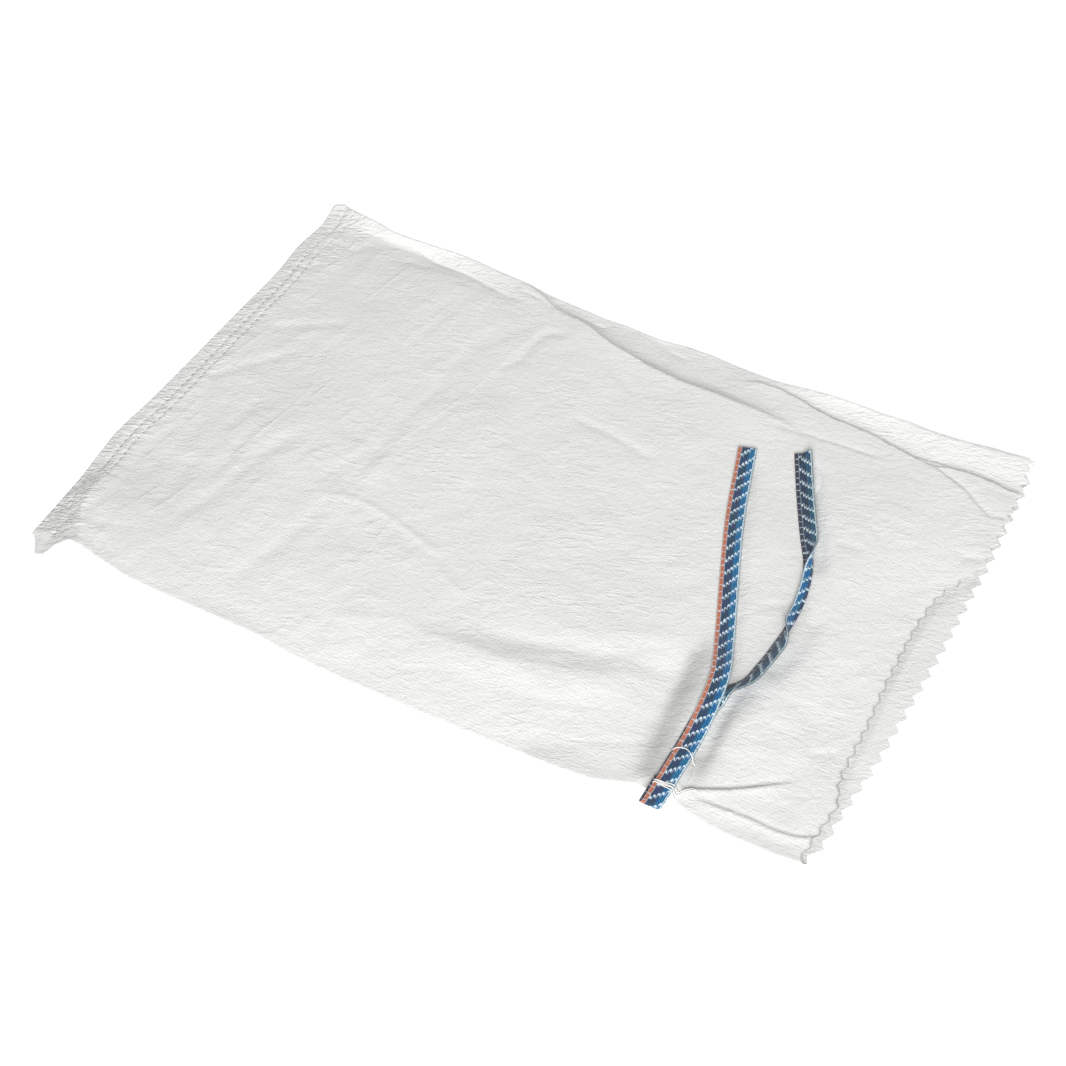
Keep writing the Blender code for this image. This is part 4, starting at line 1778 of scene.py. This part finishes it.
@dataclass(frozen=True)
class TieBand:
    """The tie band: two legs that lie on the bag and meet in the fold."""

    shape: BagShape
    width: float = 0.014
    thickness: float = 0.0010
    gap: float = 0.0003
    step: float = 0.00045
    points_across: int = 21
    smooth_spots: int = 12
    bend_radius: float = 0.0009
    bend_from: float = -0.0012
    loop_size: float = 0.00030
    loop_length: float = 0.0019
    fold_end: tuple = (0.1864, -0.2120)
    fold_skew: float = 0.0022
    upper_leg: Points = metres((109, 108), (130, 40), (152, -18), (170, -64), (182, -98), (186, -125),
        (187.2, -160), (186.8, -189))
    lower_leg: Points = metres((185.5, -189), (185.8, -165), (185.8, -138), (187, -120), (192, -105.5),
        (201, -92.5), (204.5, -75), (206.8, -55), (208, -32), (206.8, -11.8), (204, 3.4), (197, 26),
        (183.7, 50.5), (168.3, 80.2), (148, 121.5))
    exit_point: tuple = (0.187, -0.195, 0.006)

    def roll(self, y: Array) -> Array:
        """Return the lower leg's roll: its right edge is raised, most where it comes out."""
        raised = radians(38) * smooth_step(y, -0.119, -0.104)
        return raised * (1.0 - 0.9 * smooth_step(y, -0.040, 0.030))

    def bend(self, y: Array) -> Array:
        """Return how far the lower leg's right half is folded over its left half."""
        return radians(160) * smooth_step(y, -0.058, -0.020) * (1.0 - 0.8 * smooth_step(y, 0.012, 0.050))

    def stack_height(self, y: Array) -> Array:
        """Return how far the upper leg is raised by the lower one under it."""
        loose = 1.0 + 0.8 * smooth_step(y, -0.150, -0.120)
        return (self.thickness + self.gap) * loose * (1.0 - smooth_step(y, -0.105, -0.070))

    def cloth(self, line: Array) -> Array:
        """Return the cloth's height under a leg, smoothed along it."""
        height = self.shape.rest_height(line[:, 0], line[:, 1], self.width * 0.42)
        window = np.ones(2 * self.smooth_spots + 1)
        padded = np.pad(height, self.smooth_spots, mode="edge")
        return np.maximum(np.convolve(padded, window / len(window), mode="valid"), height - 0.0002)

    def upper_path(self) -> LegPath:
        """Return the upper leg's middle line, from under the fold to its free end.

        Formula: in plan a smooth line through the route's points; the
        height is the cloth's plus the lower leg's; the fold is a half
        circle between both legs, with its lower side moved a little aside.

        Returns:
            The leg's path.
        """
        plan = smooth_line(self.upper_leg[::-1], self.step)
        top = self.cloth(plan) + self.gap + self.thickness / 2 + self.stack_height(plan[:, 1])
        end_lift = 0.0012 * smooth_step(plan[:, 1], 0.080, 0.110)
        leg = np.column_stack([plan, top + end_lift])
        out = np.array(self.fold_end) - plan[0]
        reach = float(np.linalg.norm(out))
        out = out / reach
        radius = (self.thickness + self.gap) / 2
        aside = np.array([out[1], -out[0]]) * self.fold_skew
        angles = np.linspace(-pi / 2, pi / 2, 13)
        run = np.linspace(0.0, reach, int(reach / self.step), endpoint=False)
        under = leg[0, 2] - 2 * radius
        low = np.column_stack([plan[0] + aside + out * run[:, None], np.full(len(run), under)])
        turn_plan = plan[0] + out * (reach + radius * 1.6 * np.cos(angles)[:, None])
        turn_plan = turn_plan + aside * (0.5 - 0.5 * np.sin(angles))[:, None]
        turn = np.column_stack([turn_plan, under + radius * (1.0 + np.sin(angles))])
        high = np.column_stack([plan[0] + out * run[:0:-1, None], np.full(len(run) - 1, leg[0, 2])])
        line = np.concatenate((low, turn, high, leg))
        fold_level = np.tile([-out[1], out[0], 0.0], (len(line) - len(leg), 1))
        level = np.concatenate((fold_level, self.level_way(plan)))
        return LegPath(line, level, np.zeros(len(line)), np.zeros(len(line)))

    def lower_path(self) -> LegPath:
        """Return the lower leg's path, from the stitches to its free end.

        Formula: in plan a smooth line through the route's points; the height
        is the cloth's plus half of what the rolled section takes up.

        Returns:
            The leg's path.
        """
        plan = smooth_line(self.lower_leg, self.step)
        roll = self.roll(plan[:, 1])
        half = self.width / 2 * np.sin(roll) + self.thickness / 2 * np.abs(np.cos(roll))
        height = self.cloth(plan) + self.gap + half
        end_lift = 0.0010 * smooth_step(plan[:, 1], 0.095, 0.122)
        line = np.column_stack([plan, height + end_lift])
        return LegPath(line, self.level_way(plan), roll, self.bend(plan[:, 1]))

    def level_way(self, plan: Array) -> Array:
        """Return the level way across a plan line that runs towards +Y: to its right."""
        ways = tangents(plan)
        return np.column_stack([ways[:, 1], -ways[:, 0], np.zeros(len(plan))])

    def section(self) -> tuple[Array, Array]:
        """Return the band's section and each point's place across its faces.

        Formula: rows of points over the front and back, a little crowned,
        with rounded edges; the place runs 0 to 1 over the front and 2 to 1
        over the back.

        Returns:
            The section's points and their V values.
        """
        wide, thick = self.width / 2, self.thickness / 2
        share = np.linspace(0.0, 1.0, self.points_across)
        crown = 0.00012 * (1.0 - (2 * share - 1) ** 2)
        spread = (wide - 0.00035) * (2 * share - 1)
        front = np.column_stack([spread, thick + crown])
        right = np.array([[wide - 0.0001, thick * 0.55], [wide - 0.0001, -thick * 0.55]])
        back = np.column_stack([spread[::-1], -thick - crown])
        left = -right
        inner = 0.02 + 0.96 * share
        values = np.concatenate((inner, [0.995, 1.998], 1.0 + inner[::-1], [1.002, 0.005]))
        return np.concatenate((front, right, back, left)), values

    def bent(self, section: Array, bend: Array, loops: Array) -> tuple[Array, Array]:
        """Fold the section's right half away from the front.

        Formula: past a line near the middle, the width runs round an arc of
        the bend radius until it has turned by the bend, and then straight
        on; the offset from the middle line turns with it.

        Args:
            section: points of the flat section.
            bend: how far each ring is folded.
            loops: how far the right edge's loops stand out at each ring.

        Returns:
            The points' places along the width way and along the front way.
        """
        right = np.zeros(len(section))
        right[self.points_across:self.points_across + 2] = 1.0
        wide = section[None, :, 0] + loops[:, None] * right
        offset = section[None, :, 1]
        over = np.maximum(wide - self.bend_from, 0.0)
        turn = np.minimum(over / self.bend_radius, bend[:, None])
        rest = over - turn * self.bend_radius
        sine, cosine = np.sin(turn), np.cos(turn)
        across = np.minimum(wide, self.bend_from) + self.bend_radius * sine + rest * cosine + offset * sine
        front = offset * cosine - self.bend_radius * (1.0 - cosine) - rest * sine
        return across, front

    def sweep_leg(self, name: str, path: LegPath, front_sign: float,
                  finish: Material) -> Piece:
        """Sweep the band along one leg.

        Formula: the width way is the level way turned up by the roll, also
        where the line moves aside in the fold; the right edge's loops bulge
        as a rectified sine of the length.

        Args:
            name: the leg's name.
            path: its middle line with its ways, rolls and bends.
            front_sign: 1 where the front faces up, -1 where it faces down.
            finish: the webbing's material.

        Returns:
            The leg's object.
        """
        line = path.line
        along = tangents(line)
        across = path.level
        front = np.cross(across, along) * front_sign
        front = front / np.linalg.norm(front, axis=1, keepdims=True)
        rise, spread = np.sin(path.roll)[:, None], np.cos(path.roll)[:, None]
        wide = across * spread - front * rise
        face = front * spread + across * rise
        section, values = self.section()
        lengths = lengths_along(line)
        loops = self.loop_size * np.abs(np.sin(pi * lengths / self.loop_length))
        places_across, places_front = self.bent(section, path.bend, loops)
        rings = line[:, None] + wide[:, None] * places_across[..., None]
        rings = rings + face[:, None] * places_front[..., None]
        places, faces = close_sweep(rings)
        item = add_piece(name, places, faces, finish)
        u = np.repeat(lengths * front_sign, len(section))
        set_uv(item, np.stack([u, np.tile(values, len(line))], axis=1))
        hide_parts("tie_band")
        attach(item, BODY)
        return item

    def build(self, finish: Material) -> list[Piece]:
        """Args:
            finish: the webbing's material.

        Returns:
            The two legs.
        """
        upper = self.sweep_leg("tie_leg_upper", self.upper_path(), 1.0, finish)
        lower = self.sweep_leg("tie_leg_lower", self.lower_path(), -1.0, finish)
        return [upper, lower]


@dataclass(frozen=True)
class TieStitches:
    """The threads that hold the folded band to the near edge."""

    shape: BagShape
    band: TieBand
    spacing: float = 0.0010
    leans: tuple = (-6, 4, -2, 7)
    radius: float = 0.00042
    reach: float = 0.0095
    ease: float = 0.0006
    close: float = 0.0015
    step: float = 0.0004
    edge_middle: tuple = (0.1865, -0.1945)
    inner_middle: tuple = (0.1871, -0.1660)
    strands: tuple = (
        ("tie_side_strand", metres((196.6, -166.5), (198.3, -175), (199, -186))),
        ("tie_pleat_strand", metres((196, -194), (200, -190), (206, -185.5))),
        ("tie_pleat_strand_2", metres((195, -192.5), (200, -188.5), (205, -184))),
    )

    def over_band(self, middle: tuple, turn: float, arch: float) -> Points:
        """Return points of a thread that crosses the folded band.

        Formula: spots across the band at a slant; the height is the
        band's top over the band and the cloth's beside it.

        Args:
            middle: X and Y of the crossing.
            turn: slant of the crossing in degrees.
            arch: how far its middle stands along the band.

        Returns:
            The points.
        """
        half = self.band.width / 2
        right = [half - self.ease, half + self.ease, self.reach]
        offsets = np.array([-offset for offset in right[::-1]] + [0.0] + right)
        x = middle[0] + offsets * cos(radians(turn))
        y = middle[1] + offsets * sin(radians(turn)) + arch * (1 - (offsets / half) ** 2).clip(0, 1)
        cloth = self.shape.upper(x, np.maximum(y, self.shape.near(x) + self.shape.edge_margin))
        on_band = np.abs(offsets) < half
        line = self.band.upper_path().line
        close = np.hypot(line[:, 0] - middle[0], line[:, 1] - middle[1]) < self.close
        top = float(line[close, 2].max()) + self.band.thickness / 2 + self.radius * 1.2
        z = np.where(on_band, top, cloth + self.radius)
        z[1] = (top + z[0]) / 2
        z[-2] = (top + z[-1]) / 2
        return tuple(map(tuple, np.column_stack([x, y, z]).tolist()))

    def build(self, finish: Material) -> list[Piece]:
        """Build the edge bundle, the inner arc and the short strands beside the band.

        Args:
            finish: the thread's material.

        Returns:
            The thread pieces.
        """
        made = []
        for index, lean in enumerate(self.leans):
            shift = (index - (len(self.leans) - 1) / 2) * self.spacing
            points = self.over_band((self.edge_middle[0], self.edge_middle[1] + shift), lean, 0.0)
            item = Thread(f"tie_edge_thread_{index + 1}", points, self.radius, step=self.step).build(finish)
            if index == 0:
                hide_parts("tie_stitch_edge")
            made.append(item)
        points = self.over_band(self.inner_middle, -4, 0.0040)
        item = Thread("tie_inner_thread", points, self.radius, step=self.step).build(finish)
        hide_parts("tie_stitch_inner")
        made.append(item)
        made += [self.strand(name, plan, finish) for name, plan in self.strands]
        return made

    def strand(self, name: str, plan: Points, finish: Material) -> Piece:
        """Lay a short strand on the cloth along points in plan."""
        line = smooth_line(plan, self.step)
        height = self.shape.upper(line[:, 0], line[:, 1]) + self.radius
        return Thread(name, (), self.radius).build(finish, np.column_stack([line, height]))


# The studio


@dataclass(frozen=True)
class Lamp:
    """A square soft light: angles in degrees, distance and side in metres, power in watts."""

    name: str
    azimuth: float
    elevation: float
    distance: float
    side: float
    power: float


@dataclass(frozen=True)
class Studio:
    """Camera at the photograph's angle, soft lights and a pale floor."""

    azimuth: float = 27.70
    elevation: float = 48.23
    distance: float = 1.833
    target: tuple = (0.0038, -0.0300, 0.0)
    field: float = 23.57
    sensor: float = 36.0
    clip: tuple = (0.05, 50.0)
    white: tuple = (1.0, 1.0, 1.0, 1.0)
    room_strength: float = 0.38
    # A soft key from the front right, and a low light behind
    lamps: tuple[Lamp, ...] = (
        Lamp("key", 24.0, 33.0, 4.6, 1.8, 245.0),
        Lamp("back", 195.0, 16.0, 2.8, 1.6, 14.0),
    )
    floor_colour: tuple = (0.90, 0.90, 0.90, 1.0)
    floor_roughness: float = 0.9
    floor_glow: float = 0.50
    floor_reach: float = 6.0
    floor_height: float = -0.0002

    def way(self, azimuth: float, elevation: float) -> Vector:
        """Return the unit way from the object towards an angle: azimuth 0 is the near side."""
        a, e = radians(azimuth), radians(elevation)
        return Vector((sin(a) * cos(e), -cos(a) * cos(e), sin(e)))

    def hang(self, name: str, data: bpy.types.ID, spot: Vector, way: Vector) -> Piece:
        """Put a camera or a lamp at a spot, looking against the way.

        Args:
            name: the object's name.
            data: the camera or the lamp.
            spot: where it stands.
            way: the unit way from what it looks at.

        Returns:
            The new object.
        """
        item = bpy.data.objects.new(name, data)
        item.location = spot
        item.rotation_mode = "QUATERNION"
        item.rotation_quaternion = (-way).to_track_quat("-Z", "Y")
        bpy.context.scene.collection.objects.link(item)
        return item

    def camera(self) -> None:
        """Place the camera and make it the scene's."""
        data = bpy.data.cameras.new("camera")
        data.sensor_width = self.sensor
        data.lens = self.sensor / 2 / tan(radians(self.field) / 2)
        data.clip_start, data.clip_end = self.clip
        way = self.way(self.azimuth, self.elevation)
        spot = Vector(self.target) + way * self.distance
        bpy.context.scene.camera = self.hang("camera", data, spot, way)

    def hang_lamp(self, lamp: Lamp) -> None:
        """Hang one lamp, facing the object."""
        data = bpy.data.lights.new(lamp.name, "AREA")
        data.shape = "SQUARE"
        data.size = lamp.side
        data.energy = lamp.power
        way = self.way(lamp.azimuth, lamp.elevation)
        self.hang(lamp.name, data, way * lamp.distance, way)

    def floor(self) -> None:
        """Lay the pale floor, which gives off a little light of its own as a lit table does."""
        material, _, shader = new_material("floor")
        shader.inputs["Base Color"].default_value = self.floor_colour
        shader.inputs["Roughness"].default_value = self.floor_roughness
        shader.inputs["Emission Color"].default_value = self.white
        shader.inputs["Emission Strength"].default_value = self.floor_glow
        signs = np.array([[-1.0, -1.0], [1.0, -1.0], [1.0, 1.0], [-1.0, 1.0]])
        corners = np.column_stack([signs * self.floor_reach, np.full(len(signs), self.floor_height)])
        item = add_piece("floor", corners, [(0, 1, 2, 3)], material)

    def light(self) -> None:
        """Light the scene with a bright white room and the lamps."""
        world = bpy.data.worlds.new("room")
        world.use_nodes = True
        room = world.node_tree.nodes["Background"]
        room.inputs["Color"].default_value = self.white
        room.inputs["Strength"].default_value = self.room_strength
        bpy.context.scene.world = world
        for lamp in self.lamps:
            self.hang_lamp(lamp)
        bpy.context.scene.view_settings.view_transform = "Standard"
        bpy.context.scene.view_settings.look = "None"


def report(items: list[Piece]) -> None:
    """Log each piece's name and number of faces."""
    for item in items:
        LOG.info("%s: %d faces", item.name, len(item.data.polygons))


def main() -> None:
    """Build the studio and every piece of the bag in order."""
    logging.basicConfig(level=logging.INFO, format="%(message)s")
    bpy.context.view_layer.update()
    studio = Studio()
    studio.camera()
    shape = BagShape()
    webbing = TieWebbing().build()
    thread = SewingThread().build()
    band = TieBand(shape)
    report(band.build(webbing))
    cloth = WovenCloth().build(TapeWeave())
    bag = BagBody(shape).build(cloth)
    report([bag])
    seams = HemSeams(shape).build(thread)
    stitches = TieStitches(shape, band).build(thread)
    report(seams + stitches)
    studio.light()
    studio.floor()


if __name__ == "__main__":
    main()
